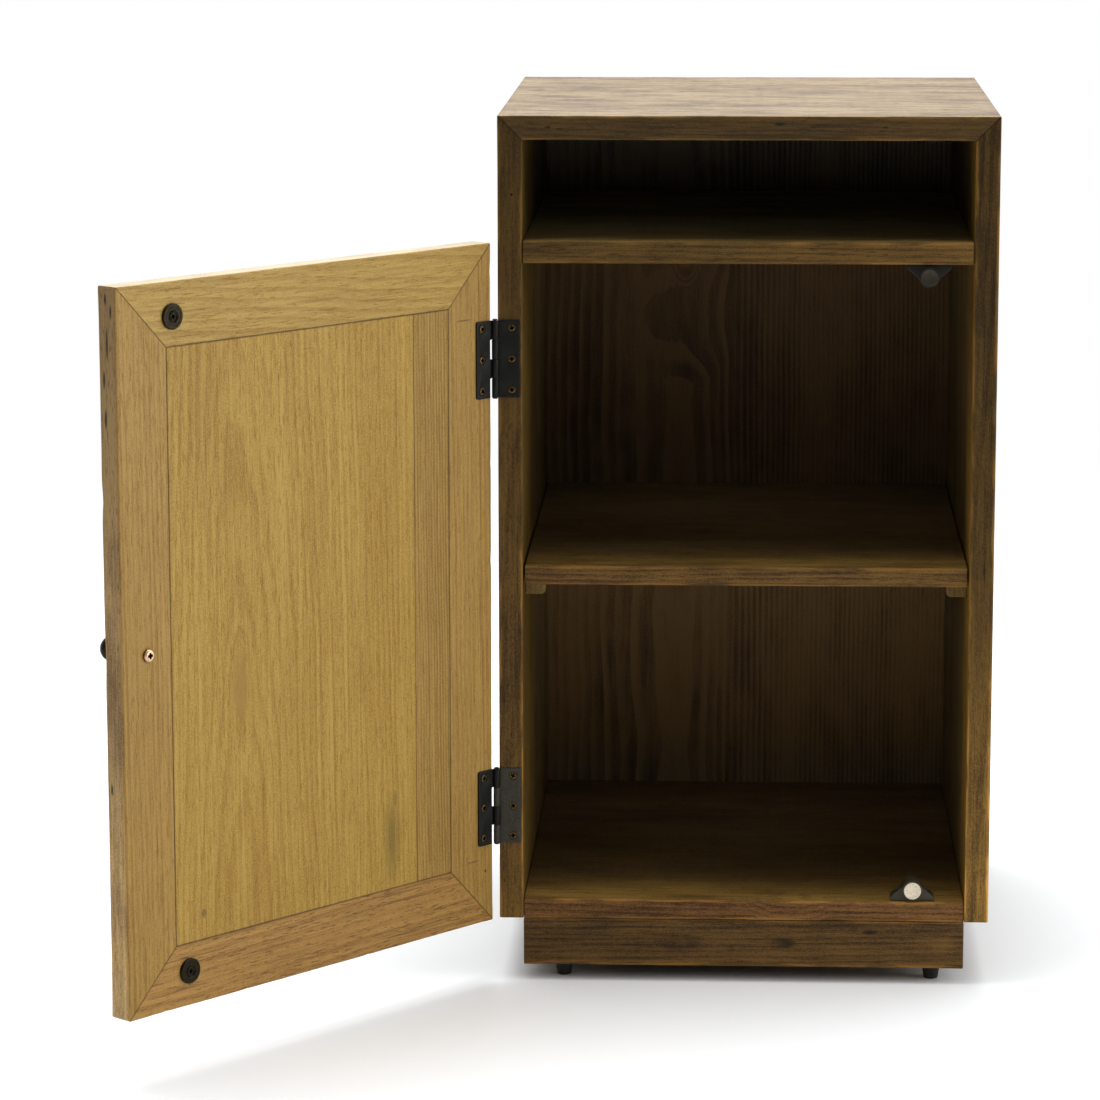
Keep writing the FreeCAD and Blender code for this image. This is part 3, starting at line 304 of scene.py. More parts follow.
class Signal:
    """What one shader socket carries; arithmetic on signals adds the nodes it needs."""

    __add__, __radd__ = _operator("ADD"), _operator("ADD", reflected=True)
    __sub__, __rsub__ = _operator("SUBTRACT"), _operator("SUBTRACT", reflected=True)
    __mul__, __rmul__ = _operator("MULTIPLY"), _operator("MULTIPLY", reflected=True)
    __truediv__, greatest = _operator("DIVIDE"), _operator("MAXIMUM")

    def __init__(self, painter: "Painter", socket: bpy.types.NodeSocket) -> None:
        """Wrap a socket of a painter's node tree."""
        self.painter = painter
        self.socket = socket

    def join(self, operation: str, first: object, second: object) -> "Signal":
        """Two operands in one Math node, or in a Vector Math node for colours and vectors."""
        signals = [s for s in (first, second) if isinstance(s, Signal)]
        vector = any(s.socket.type in {"VECTOR", "RGBA"} for s in signals)
        kind = "ShaderNodeVectorMath" if vector else "ShaderNodeMath"
        if vector:
            first, second = (
                value if isinstance(value, Signal) or hasattr(value, "__len__") else (value,) * 3
                for value in (first, second)
            )
        return self.painter.node(kind, {"operation": operation}, {0: first, 1: second})

    def math(self, operation: str) -> "Signal":
        """One-operand maths, such as FRACT, FLOOR or SQRT."""
        return self.painter.node("ShaderNodeMath", {"operation": operation}, {0: self})

    def between(self, low: float, high: float) -> "Signal":
        """0 below `low`, 1 above `high` and smooth between them, or the reverse if low > high."""
        rising = float(low <= high)
        ends = {0: self, 1: min(low, high), 2: max(low, high), 3: 1 - rising, 4: rising}
        return self.painter.node("ShaderNodeMapRange", {"interpolation_type": "SMOOTHSTEP"}, ends)


class Painter:
    """Builds one tree of nodes; every node comes from the method `node`."""

    def __init__(self, tree: bpy.types.NodeTree, material: bpy.types.Material | None = None) -> None:
        """Start with an empty tree, of a material, the world or a modifier."""
        self.tree = tree
        self.material = material
        tree.nodes.clear()

    @classmethod
    def of(cls, name: str) -> "Painter":
        """Start a new material."""
        material = bpy.data.materials.new(name)
        material.use_nodes = True
        return cls(material.node_tree, material)

    def node(
        self,
        kind: str,
        settings: dict[str, object] | None = None,
        sockets: dict[int | str, object] | None = None,
        output: int | str = 0,
    ) -> Signal:
        """Add a node.

        Args:
            kind: the node's type.
            settings: properties of the node, which are set first; `stops` fills a colour ramp.
            sockets: values or signals of its input sockets.
            output: which output the signal carries.

        Returns:
            The signal of that output.
        """
        made = self.tree.nodes.new(kind)
        for key, value in (settings or {}).items():
            if key == "stops":
                ramp = made.color_ramp
                while len(ramp.elements) < len(value):
                    ramp.elements.new(0.5)
                for element, (place, colour) in zip(ramp.elements, value):
                    element.position = place
                    element.color = colour
            else:
                setattr(made, key, value)
        for key, value in (sockets or {}).items():
            if isinstance(value, Signal):
                self.tree.links.new(value.socket, made.inputs[key])
            else:
                made.inputs[key].default_value = value
        return Signal(self, made.outputs[output]) if made.outputs else Signal(self, None)

    def object_place(self, pin: Pin | None = None) -> Signal:
        """Where a point is on the piece, turned back to the shut door's frame if a pin is given."""
        place = self.node("ShaderNodeTexCoord", output="Object")
        if pin is None:
            return place
        home = pin.shut(np.zeros((1, 3)))[0]
        turn = {"Vector": place, "Location": tuple(home), "Rotation": (0.0, 0.0, pin.angle)}
        return self.node("ShaderNodeMapping", {"vector_type": "POINT"}, turn)

    def apart(self, vector: Signal) -> list[Signal]:
        """The three numbers of a vector."""
        parted = self.node("ShaderNodeSeparateXYZ", {}, {0: vector})
        return [Signal(self, socket) for socket in parted.socket.node.outputs]

    def together(self, x: object, y: object, z: object) -> Signal:
        """A vector of three numbers."""
        return self.node("ShaderNodeCombineXYZ", {}, {0: x, 1: y, 2: z})

    def noise(self, vector: Signal, scale: float = 1.0, detail: float = 2.0, rough: float = 0.5) -> Signal:
        """Soft noise, mostly from 0.3 to 0.7."""
        values = {"Vector": vector, "Scale": scale, "Detail": detail, "Roughness": rough}
        return self.node("ShaderNodeTexNoise", {}, values)

    def attribute(self, name: str) -> Signal:
        """A number stored on the piece's own mesh."""
        return self.node("ShaderNodeAttribute", {"attribute_name": name}, output="Fac")

    def mix(self, share: object, first: object, second: object) -> Signal:
        """A colour between two colours."""
        settings = {"data_type": "RGBA", "clamp_factor": True}
        return self.node("ShaderNodeMix", settings, {0: share, 6: first, 7: second}, output=2)

    def bump(self, height: Signal, distance: float, strength: float = 1.0,
             over: Signal | None = None) -> Signal:
        """A normal from a height between 0 and 1, `distance` metres deep, over another normal."""
        values = {"Height": height, "Distance": distance, "Strength": strength}
        if over:
            values["Normal"] = over
        return self.node("ShaderNodeBump", {}, values)

    def surface(self, **values: object) -> bpy.types.Material:
        """Finish with one Principled shader.

        Args:
            **values: sockets of the shader, with underscores for the spaces in their names.

        Returns:
            The finished material.
        """
        named = {key.replace("_", " "): value for key, value in values.items()}
        shader = self.node("ShaderNodeBsdfPrincipled", {}, named)
        self.node("ShaderNodeOutputMaterial", {}, {"Surface": shader})
        return self.material


def tone(red: int, green: int, blue: int) -> Colour:
    """A linear colour from everyday values of 0 to 255."""
    linear = (
        value / 255 / 12.92 if value / 255 <= 0.04045 else ((value / 255 + 0.055) / 1.055) ** 2.4
        for value in (red, green, blue)
    )
    return (*linear, 1.0)


# ---------------------------------------------------------------- wood


@dataclass(frozen=True)
class Eye:
    """A bump in the log, which the rings run round."""

    along: float
    across: float
    half_length: float
    half_width: float
    height: float


@dataclass(frozen=True)
class Mark:
    """A stain, smudge or pit on one board; a pit also goes in.

    On an edge of the board, `across` is its place through the thickness.
    """

    along: float
    across: float
    half_length: float
    half_width: float
    colour: Colour
    strength: float = 0.8
    ragged: float = 1.0
    pit: bool = False
    on_edge: bool = False


def marks_of(colour: Colour, *ovals: tuple[float, ...], **kind: float | bool) -> tuple[Mark, ...]:
    """Marks of one colour and kind, from the place and the half length and width of each."""
    return tuple(Mark(*oval, colour, **kind) for oval in ovals)


@dataclass(frozen=True)
class Cut:
    """How a board was cut from its log: where the pith lies and how wide the rings are."""

    seed: float
    pith_across: float = 0.0
    pith_below: float = 0.04
    rise: float = 0.05
    squeeze: float = 1.0
    slant: float = 0.0
    ring: float = 4.0 * MM
    wander: float = 3.0 * MM
    fret: float = 0.45
    eyes: tuple[Eye, ...] = ()
    marks: tuple[Mark, ...] = ()


@dataclass(frozen=True)
class PaintedLight:
    """Painted light and shade: a colour made lighter or darker between two places on one axis of the frame.

    Its gains are numbers, or red, green and blue numbers. With `before`, only what lies in front of
    that place changes, such as a board's front edge.
    """

    axis: Axis
    start: float
    stop: float
    first: float | Point
    last: float | Point
    before: float | None = None

    def gain(self, grain: "Grain") -> Signal:
        """What the colour is multiplied by: `first` before `start`, `last` after `stop`."""
        places = grain.painter.apart(grain.place)
        ends = [(*((end,) * 3 if isinstance(end, float) else end), 1.0) for end in (self.first, self.last)]
        gain = grain.painter.mix(places[self.axis.value].between(self.start, self.stop), *ends)
        if self.before is None:
            return gain
        front = places[Y.value].between(self.before, self.before - 1.0 * MM)
        return grain.painter.mix(front, (1.0, 1.0, 1.0, 1.0), gain)


class Grain:
    """The figure of one board as signals: its place, rings, fibres and pores."""

    def __init__(self, painter: Painter, lay: Lay, cut: Cut) -> None:
        """Read the figure at the shaded point.

        Args:
            painter: the material that is being built.
            lay: how the board lies.
            cut: how it was cut from its log.
        """
        self.painter = painter
        self.cut = cut
        self.place = painter.object_place(lay.pin)
        parts = painter.apart(self.place)
        self.along = parts[lay.along.value]
        self.across = parts[lay.across.value]
        self.through = parts[lay.through.value]
        sway = painter.noise(self.stretched(5.0, 11.0), detail=1.0) - 0.5
        swell = painter.noise(self.stretched(7.0, 14.0, 7.3), detail=1.0) - 0.5
        aside = self.across - cut.pith_across - self.along * cut.slant + sway * (2.2 * cut.wander)
        below = self.through + self.along * cut.rise + (cut.pith_below + swell * (3.0 * cut.wander))
        if cut.squeeze != 1.0:
            aside = aside.greatest(aside * cut.squeeze)
        for eye in cut.eyes:
            below = below + self.spot(eye) * eye.height
        radius = (aside * aside + below * below).math("SQRT")
        fine = painter.noise(self.stretched(12.0, 160.0, 3.1), detail=2.0) - 0.5
        phase = radius / cut.ring + fine * cut.fret
        band = phase.math("FRACT")
        year = painter.node("ShaderNodeTexWhiteNoise", {"noise_dimensions": "1D"}, {"W": phase.math("FLOOR")})
        self.late = band.between(0.30, 0.88) * band.between(1.0, 0.92) * (0.35 + year * 0.65)
        self.fibre = painter.noise(self.stretched(16.0, 400.0, 1.7), detail=4.0, rough=0.66)
        dashes = painter.noise(self.stretched(105.0, 950.0, 5.9), detail=1.5)
        self.pore = dashes.between(0.56, 0.68)
        self.speck = painter.noise(self.stretched(650.0, 1400.0, 6.6), detail=1.0)
        self.streak = painter.noise(self.stretched(5.0, 240.0, 8.2), detail=1.5).between(0.54, 0.66)
        lines = painter.noise(self.stretched(11.0, 420.0, 2.3), detail=1.5)
        self.line = lines.between(0.62, 0.72)
        self.broad = painter.noise(self.stretched(4.0, 17.0, 9.1), detail=2.5)
        self.soft = painter.noise(self.stretched(22.0, 60.0, 4.7), detail=2.0)

    def stretched(self, long: float, short: float, shift: float = 0.0) -> Signal:
        """A place stretched along the grain: `long` and `short` are swings to the metre."""
        offset = self.cut.seed * 3.7 + shift
        scaled = (self.along * long + offset, self.across * short + offset, self.through * short)
        return self.painter.together(*scaled)

    def spot(self, oval: Eye | Mark) -> Signal:
        """1 in the middle of an oval on the board's face or edge, falling to 0 at its rim."""
        side = self.through if isinstance(oval, Mark) and oval.on_edge else self.across
        far = (self.along - oval.along) / oval.half_length
        wide = (side - oval.across) / oval.half_width
        return (far * far + wide * wide).between(1.0, 0.0)

    def marked(self, colour: Signal, height: Signal) -> tuple[Signal, Signal]:
        """A colour and a height with the board's own marks laid over them."""
        for mark in self.cut.marks:
            share = self.spot(mark) * mark.strength
            if mark.ragged:
                share = share * (1 - mark.ragged + self.soft.between(0.3, 0.55) * mark.ragged)
            colour = self.painter.mix(share, colour, mark.colour)
            if mark.pit:
                height = height - share
        return colour, height


@dataclass(frozen=True)
class StainedTimber:
    """Old open-grained timber under a dark satin stain, worn through to gold at its arrises."""

    dark: Colour = tone(50, 35, 13)
    light: Colour = tone(96, 72, 31)
    pore: Colour = tone(24, 16, 8)
    # The gold where the stain is worn through at the arrises.
    rubbed: Colour = tone(146, 106, 48)
    ring_share: float = 0.35
    fibre_share: float = 1.5
    pore_share: float = 0.4
    crack_share: float = 0.15
    line_share: float = 0.35
    wear_share: float = 0.6
    soft_share: float = 0.9
    speck_share: float = 1.3
    grime_share: float = 0.6
    gloss: float = 0.42

    def lay_on(self, grain: Grain, worn: bool) -> dict[str, Signal]:
        """The stain's colour, roughness and height on a board.

        Args:
            grain: the board's figure.
            worn: whether the piece's mesh says how worn each point is.

        Returns:
            The signals `colour`, `rough` and `height`.
        """
        painter = grain.painter
        level = (grain.fibre - 0.5) * self.fibre_share + (grain.broad - 0.5) * 1.5
        level = level + (grain.soft - 0.5) * self.soft_share
        level = level + (grain.speck - 0.5) * self.speck_share + (0.62 - grain.late * self.ring_share)
        colour = painter.mix(level, self.dark, self.light)
        colour = painter.mix(grain.line * self.line_share, colour, self.pore)
        colour = painter.mix(grain.pore * self.pore_share, colour, self.pore)
        crack = painter.noise(grain.stretched(26.0, 300.0, 4.4), detail=3.0, rough=0.65).between(0.64, 0.69)
        crack = crack * (grain.broad + grain.soft).between(0.98, 1.08) * self.crack_share
        colour = painter.mix(crack, colour, self.pore)
        height = 0.5 + (grain.fibre - 0.5) * 0.8 - grain.pore * 0.35 - grain.line * 0.25
        height = height - crack * 0.8 - grain.late * 0.1
        colour, height = grain.marked(colour, height)
        if worn:
            wear = painter.attribute("wear")
            patches = (grain.soft + grain.fibre).between(0.92, 1.12)
            rub = wear.greatest(0.0) * (0.2 + patches * 0.8) * self.wear_share
            colour = painter.mix(rub, colour, self.rubbed)
            colour = painter.mix((0.0 - wear).greatest(0.0) * self.grime_share, colour, self.pore)
        rough = self.gloss + (grain.fibre - 0.5) * 0.3 + grain.pore * 0.15
        return {"colour": colour, "rough": rough, "height": height}


@dataclass(frozen=True)
class HoneyTimber:
    """Clean timber under a clear honey lacquer."""

    early: Colour = tone(191, 157, 77)
    late: Colour = tone(152, 112, 35)
    pore: Colour = tone(124, 84, 28)
    seam: Colour = tone(70, 46, 20)
    ring_share: float = 0.5
    fibre_share: float = 1.5
    pore_share: float = 0.4
    line_share: float = 0.3
    speck_share: float = 1.5
    streak_share: float = 0.15
    gloss: float = 0.42

    def lay_on(self, grain: Grain, worn: bool = False) -> dict[str, Signal]:
        """The lacquered wood's colour, roughness and height.

        Args:
            grain: the board's figure.
            worn: whether the piece's mesh says where its joints are.

        Returns:
            The signals `colour`, `rough` and `height`.
        """
        painter = grain.painter
        level = (grain.fibre - 0.5) * self.fibre_share + (grain.broad - 0.5) * 0.9
        level = level + (grain.speck - 0.5) * self.speck_share + grain.streak * self.streak_share
        colour = painter.mix(level + (0.64 - grain.late * self.ring_share), self.late, self.early)
        colour = painter.mix(grain.line * self.line_share, colour, self.pore)
        colour = painter.mix(grain.pore * self.pore_share, colour, self.pore)
        height = 0.6 + (grain.fibre - 0.5) * 0.5 - grain.pore * 0.35 - grain.line * 0.2
        colour, height = grain.marked(colour, height)
        if worn:
            seam = (0.0 - painter.attribute("wear")).greatest(0.0)
            colour = painter.mix(seam * (0.25 + grain.soft * 0.8), colour, self.seam)
        rough = self.gloss + grain.pore * 0.2 + (grain.fibre - 0.5) * 0.2
        return {"colour": colour, "rough": rough, "height": height}


INSIDE = StainedTimber(dark=tone(96, 76, 44), light=tone(154, 129, 74), fibre_share=1.1, pore_share=0.25,
                       crack_share=0.0, gloss=0.5)


@dataclass(frozen=True)
class CaseWood:
    """A board of the case: stained, with a second coat beyond a given place on one axis.

    The second coat lies where the place on `second_axis` is beyond `second_from`, towards the
    side of `second_side`: above it for 1, below it for -1.
    """

    lay: Lay
    cut: Cut
    stain: StainedTimber = StainedTimber()
    second: StainedTimber | None = None
    second_axis: Axis = Z
    second_from: float = 0.0
    second_side: int = 1
    # painted light and shade: gains on each coat's colour for how the light falls on the board
    painted_light: tuple[PaintedLight, ...] = ()
    second_painted_light: tuple[PaintedLight, ...] = ()
    worn: bool = True
    relief: float = 0.45 * MM
    ripple: float = 0.0
    sheen: float = 0.14

    def _coat(self, stain: StainedTimber, painted_light: Sequence[PaintedLight], grain: Grain) -> dict[str, Signal]:
        """One coat of stain on the board, with its painted light and shade."""
        coat = stain.lay_on(grain, self.worn)
        for light_gain in painted_light:
            coat["colour"] = coat["colour"] * light_gain.gain(grain)
        return coat

    def paint(self, name: str) -> bpy.types.Material:
        """Build the board's material."""
        painter = Painter.of(name)
        grain = Grain(painter, self.lay, self.cut)
        coat = self._coat(self.stain, self.painted_light, grain)
        if self.second:
            over = self._coat(self.second, self.second_painted_light, grain)
            place = painter.apart(grain.place)[self.second_axis.value]
            edge = self.second_from + self.second_side * 0.5 * MM
            share = place.between(self.second_from, edge)
            coat["colour"] = painter.mix(share, coat["colour"], over["colour"])
            coat["rough"] = coat["rough"] + (over["rough"] - coat["rough"]) * share
        ripples = None
        if self.ripple:
            waves = painter.noise(grain.stretched(20.0, 75.0, 1.1), detail=3.0, rough=0.6)
            ripples = painter.bump(waves, self.ripple)
        normal = painter.bump(coat["height"], self.relief, 0.7, ripples)
        return painter.surface(
            Base_Color=coat["colour"],
            Roughness=coat["rough"],
            Specular_IOR_Level=self.sheen,
            Normal=normal,
        )


@dataclass(frozen=True)
class DoorWood:
    """A board of the door: honey lacquer inside, the case's stain on its edges and outside, with painted
    light.
    """

    lay: Lay
    cut: Cut
    inner_face: float
    honey: HoneyTimber = HoneyTimber()
    stain: StainedTimber = StainedTimber(dark=tone(98, 72, 42), light=tone(166, 134, 86),
                                         pore=tone(48, 34, 22), pore_share=0.5, ring_share=0.5)
    outer_face: float = -1.0
    # The outer face's own darker tone, which it takes in place of the painted light on the edges.
    face_gain: Colour = (0.32, 0.30, 0.20, 1.0)
    crest: float = 1.0
    # Painted sheen: a pale strip along the top edge, where the light catches it.
    bare: Colour = tone(214, 198, 164)
    # Painted light: the stained edges made lighter towards the bottom of the door.
    light_gain: PaintedLight = PaintedLight(Z, 0.64, 0.04, (0.86, 0.84, 0.80), (1.98, 2.1, 2.0))

    def paint(self, name: str) -> bpy.types.Material:
        """Build the board's material."""
        painter = Painter.of(name)
        grain = Grain(painter, self.lay, self.cut)
        inside = self.honey.lay_on(grain, worn=True)
        outside = self.stain.lay_on(grain, worn=True)
        _, depth, height = painter.apart(grain.place)
        face = depth.between(self.outer_face + 1.2 * MM, self.outer_face + 0.4 * MM)
        outside["colour"] = outside["colour"] * painter.mix(face, self.light_gain.gain(grain), self.face_gain)
        # Painted sheen along the top edge of the door.
        crest = height.between(self.crest - 0.5 * MM, self.crest) * (0.55 + grain.soft * 0.6)
        outside["colour"] = painter.mix(crest, outside["colour"], self.bare)
        share = depth.between(self.inner_face - 0.9 * MM, self.inner_face - 0.5 * MM)
        rough = outside["rough"] + (inside["rough"] - outside["rough"]) * share
        height = outside["height"] + (inside["height"] - outside["height"]) * share
        return painter.surface(
            Base_Color=painter.mix(share, outside["colour"], inside["colour"]),
            Roughness=rough,
            Specular_IOR_Level=0.3,
            Normal=painter.bump(height, 0.3 * MM, 0.6),
        )


def raw_wood() -> bpy.types.Material:
    """Bare sanded wood, for the hidden joinery."""
    painter = Painter.of("raw_wood")
    grain = Grain(painter, FLAT_LAY, Cut(seed=31, pith_below=0.2, ring=3 * MM))
    coat = HoneyTimber(early=tone(190, 165, 124), late=tone(168, 138, 96), gloss=0.7).lay_on(grain)
    return painter.surface(Base_Color=coat["colour"], Roughness=coat["rough"])


# ---------------------------------------------------------------- metal and plastic


@dataclass(frozen=True)
class Hardware:
    """A metal or moulded finish: two shades in a fine mottle, with its own gloss and painted shade in
    hollows.
    """

    slot: Slot
    base: Colour
    mottle: Colour
    metallic: float
    gloss: float
    mottle_size: float = 700.0
    mottle_share: float = 0.6
    grit: float = 0.02 * MM
    sheen: float = 0.5
    # Painted shade: the dark colour laid where the mesh marks a hollow.
    recess: Colour = tone(10, 9, 7)

    def paint(self, name: str) -> bpy.types.Material:
        """Build the finish's material."""
        painter = Painter.of(name)
        place = painter.object_place()
        fine = painter.noise(place, self.mottle_size, 3.0, 0.6)
        soft = painter.noise(place, self.mottle_size / 7, 2.0)
        share = fine.between(0.42, 0.62) * self.mottle_share * (0.4 + soft)
        colour = painter.mix(share, self.base, self.mottle)
        return painter.surface(
            # Painted shade in the screws' crosses and round their heads.
            Base_Color=painter.mix(painter.attribute("recess"), colour, self.recess),
            Metallic=self.metallic,
            Specular_IOR_Level=self.sheen,
            Roughness=self.gloss + (fine - 0.5) * 0.3,
            Normal=painter.bump(fine, self.grit, 0.5),
        )


class Finish(Enum):
    """The finishes of the ironmongery, the catches and the feet."""

    BLACK_IRON = Hardware(Slot.HINGE, tone(20, 20, 14), tone(11, 11, 8), 0.3, 0.5, sheen=0.3)
    # A lighter copy of the black iron, painted for the light on the lower hinge.
    GREY_IRON = Hardware(Slot.HINGE, tone(64, 61, 52), tone(38, 37, 31), 0.3, 0.5, sheen=0.35)
    ANTIQUE_BRASS = Hardware(Slot.BRASS, tone(110, 88, 50), tone(56, 44, 24), 0.85, 0.38, 500.0)
    AGED_BRASS = Hardware(Slot.BRASS, tone(42, 36, 22), tone(20, 17, 11), 0.85, 0.36, 500.0)
    MOULDED_BLACK = Hardware(Slot.CATCH, tone(27, 23, 15), tone(16, 14, 9), 0.0, 0.36, 900.0, 0.4, sheen=0.3)
    # A lighter copy of the black moulding, painted for the light on the lower catch.
    MOULDED_GREY = Hardware(Slot.CATCH, tone(64, 58, 42), tone(46, 42, 30), 0.0, 0.36, 900.0, 0.4, sheen=0.3)
    # Darker and lighter copies of the nickel magnet: painted shade and painted reflection of the light.
    DULL_MAGNET = Hardware(Slot.MAGNET, tone(58, 50, 37), tone(38, 33, 25), 0.5, 0.4, 420.0)
    BRIGHT_MAGNET = Hardware(Slot.MAGNET, tone(250, 238, 212), tone(216, 200, 170), 0.15, 0.4, 420.0)
    YELLOW_ZINC = Hardware(Slot.ZINC, tone(248, 210, 158), tone(206, 150, 134), 0.8, 0.3, 260.0, 0.9)
    PLAIN_ZINC = Hardware(Slot.ZINC, tone(150, 146, 136), tone(110, 106, 98), 0.85, 0.35)
    DARK_BRONZE = Hardware(Slot.KNOB, tone(46, 38, 30), tone(28, 23, 19), 0.7, 0.36)
    BLACK_RUBBER = Hardware(Slot.FOOT, tone(34, 34, 33), tone(24, 24, 23), 0.0, 0.75, 900.0)

    def material(self) -> bpy.types.Material:
        """The finish's material, made once."""
        name = self.name.lower() + "_finish"
        return bpy.data.materials.get(name) or self.value.paint(name)

    def add(self, name: str, mesh: bpy.types.Mesh, body: Body, node: str) -> None:
        """Put a mesh in this finish in the scene, on its body and in the place of its node."""
        add_piece(name, mesh, body, self.material(), node)


# ---------------------------------------------------------------- pieces


def add_piece(name: str, mesh: bpy.types.Mesh, body: Body, material: bpy.types.Material,
              node: str) -> None:
    """Put a finished mesh in the scene, on its body and in the place of its node.

    Args:
        name: the piece's name.
        mesh: its mesh, in the frame of the model.
        body: the body that it moves with.
        material: its material.
        node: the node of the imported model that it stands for.
    """
    mesh.name = name
    mesh.materials.clear()
    mesh.materials.append(material)
    piece = bpy.data.objects.new(name, mesh)
    bpy.context.scene.collection.objects.link(piece)
    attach(piece, body.value)
    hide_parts(node)
    LOG.info("%s: %d faces on %s", name, len(mesh.polygons), body.value)


def dress_node(node: str, material: bpy.types.Material) -> None:
    """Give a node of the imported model, whose shape stays, its finish."""
    piece = frame["nodes"][node]
    if not piece.material_slots:
        piece.data.materials.append(material)
    for holder in piece.material_slots:
        holder.material = material
    LOG.info("%s: kept, in %s", node, material.name)


def to_mesh(shape: bmesh.types.BMesh, smooth_below: float = 40.0) -> bpy.types.Mesh:
    """Turn a shape into a mesh with its faces outwards and its arrises crisp.

    Args:
        shape: the shape, which is used up.
        smooth_below: edges flatter than this many degrees are shaded smooth.

    Returns:
        The mesh.
    """
    bmesh.ops.recalc_face_normals(shape, faces=shape.faces)
    for face in shape.faces:
        face.smooth = True
    limit = math.radians(smooth_below)
    for edge in shape.edges:
        edge.smooth = len(edge.link_faces) == 2 and edge.calc_face_angle() < limit
    mesh = bpy.data.meshes.new("piece")
    shape.to_mesh(mesh)
    shape.free()
    return mesh


def lathe(profile: Sequence[Flat], sides: int = 48) -> bmesh.types.BMesh:
    """Turn a closed shape about the Z axis.

    Args:
        profile: (radius, height) from one pole to the other, or a closed ring of a hollow shape.
        sides: how many flats go round.

    Returns:
        The shape.
    """
    shape = bmesh.new()
    rings = []
    for radius, height in profile:
        count = sides if radius else 1
        turns = (2 * math.pi * k / count for k in range(count))
        rings.append([shape.verts.new((radius * math.cos(a), radius * math.sin(a), height)) for a in turns])
    hollow = len(rings[0]) > 1 and len(rings[-1]) > 1
    pairs = list(zip(rings, rings[1:])) + ([(rings[-1], rings[0])] if hollow else [])
    for low, high in pairs:
        for k in range(sides):
            around = ((low, k), (low, k + 1), (high, k + 1), (high, k))
            corners = [ring[place % len(ring)] for ring, place in around]
            shape.faces.new(list(dict.fromkeys(corners)))
    return shape


def add_turned(name: str, node: str, profile: Sequence[Flat], place: Matrix, body: Body, finish: Finish,
               sides: int = 48, smooth_below: float = 40.0) -> None:
    """Turn a piece on the lathe, put it in its place and add it to the scene.

    Args:
        name: the piece's name.
        node: the node that it stands for.
        profile: its profile, as `lathe` takes it.
        place: where it goes, from its own upright axis.
        body: the body that it moves with.
        finish: its finish.
        sides: how many flats go round.
        smooth_below: edges flatter than this many degrees are shaded smooth.
    """
    shape = lathe(profile, sides)
    shape.transform(place)
    finish.add(name, to_mesh(shape, smooth_below), body, node)


def ease_arrises(shape: bmesh.types.BMesh, easing: float) -> bmesh.types.BMesh:
    """A shape with every arris sharper than 35 degrees eased."""
    sharp = math.radians(35)
    crisp = [e for e in shape.edges if len(e.link_faces) == 2 and e.calc_face_angle() > sharp]
    bmesh.ops.bevel(shape, geom=crisp, offset=easing, segments=2, profile=0.5, affect="EDGES",
                    clamp_overlap=True)
    return shape


def rounded(corners: Sequence[Point], steps: int = 5) -> list[Flat]:
    """An outline whose corners are rounded.

    Args:
        corners: (x, y, radius) of each corner in turn.
        steps: how many edges make each round corner.

    Returns:
        The points of the outline.
    """
    points = []
    for index, (x, y, radius) in enumerate(corners):
        if radius == 0:
            points.append((x, y))
            continue
        corner = Vector((x, y))
        before = (Vector(corners[index - 1][:2]) - corner).normalized()
        after = (Vector(corners[(index + 1) % len(corners)][:2]) - corner).normalized()
        half = before.angle(after) / 2
        centre = corner + (before + after).normalized() * (radius / math.sin(half))
        start = corner + before * (radius / math.tan(half)) - centre
        end = corner + after * (radius / math.tan(half)) - centre
        sweep = start.angle_signed(end)
        for step in range(steps + 1):
            spoke = start.copy()
            spoke.rotate(Matrix.Rotation(-sweep * step / steps, 2))
            points.append(tuple(centre + spoke))
    return points


def plate(outline: Sequence[Flat], holes: Sequence[Sequence[Flat]], thickness: float,
          bevel: float) -> bmesh.types.BMesh:
    """A flat plate with holes and eased arrises, lying in the XY plane about z = 0.

    Args:
        outline: the points of its edge.
        holes: the points of each hole's edge.
        thickness: how thick it is.
        bevel: how far its arrises are eased.

    Returns:
        The shape.
    """
    curve = bpy.data.curves.new("plate", "CURVE")
    curve.dimensions = "2D"
    curve.fill_mode = "BOTH"
    curve.extrude = thickness / 2 - bevel
    curve.bevel_depth = bevel
    curve.bevel_resolution = 2
    curve.offset = -bevel
    for loop, turn in ((outline, 1), *((hole, -1) for hole in holes)):
        area = sum(a[0] * b[1] - b[0] * a[1] for a, b in zip(loop, [*loop[1:], loop[0]]))
        points = list(loop) if area * turn > 0 else list(loop)[::-1]
        spline = curve.splines.new("POLY")
        spline.points.add(len(points) - 1)
        for knot, (x, y) in zip(spline.points, points):
            knot.co = (x, y, 0, 1)
        spline.use_cyclic_u = True
    holder = bpy.data.objects.new("plate", curve)
    mesh = bpy.data.meshes.new_from_object(holder)
    bpy.data.objects.remove(holder)
    bpy.data.curves.remove(curve)
    shape = bmesh.new()
    shape.from_mesh(mesh)
    bpy.data.meshes.remove(mesh)
    bmesh.ops.remove_doubles(shape, verts=shape.verts, dist=1e-7)
    return shape


def in_mm(*places: Flat) -> list[Flat]:
    """Places on an outline, given in millimetres."""
    return [(x * MM, y * MM) for x, y in places]


def circle(x: float, y: float, radius: float, sides: int = 24) -> list[Flat]:
    """The points of a circle."""
    turns = [2 * math.pi * k / sides for k in range(sides)]
    return [(x + radius * math.cos(a), y + radius * math.sin(a)) for a in turns]


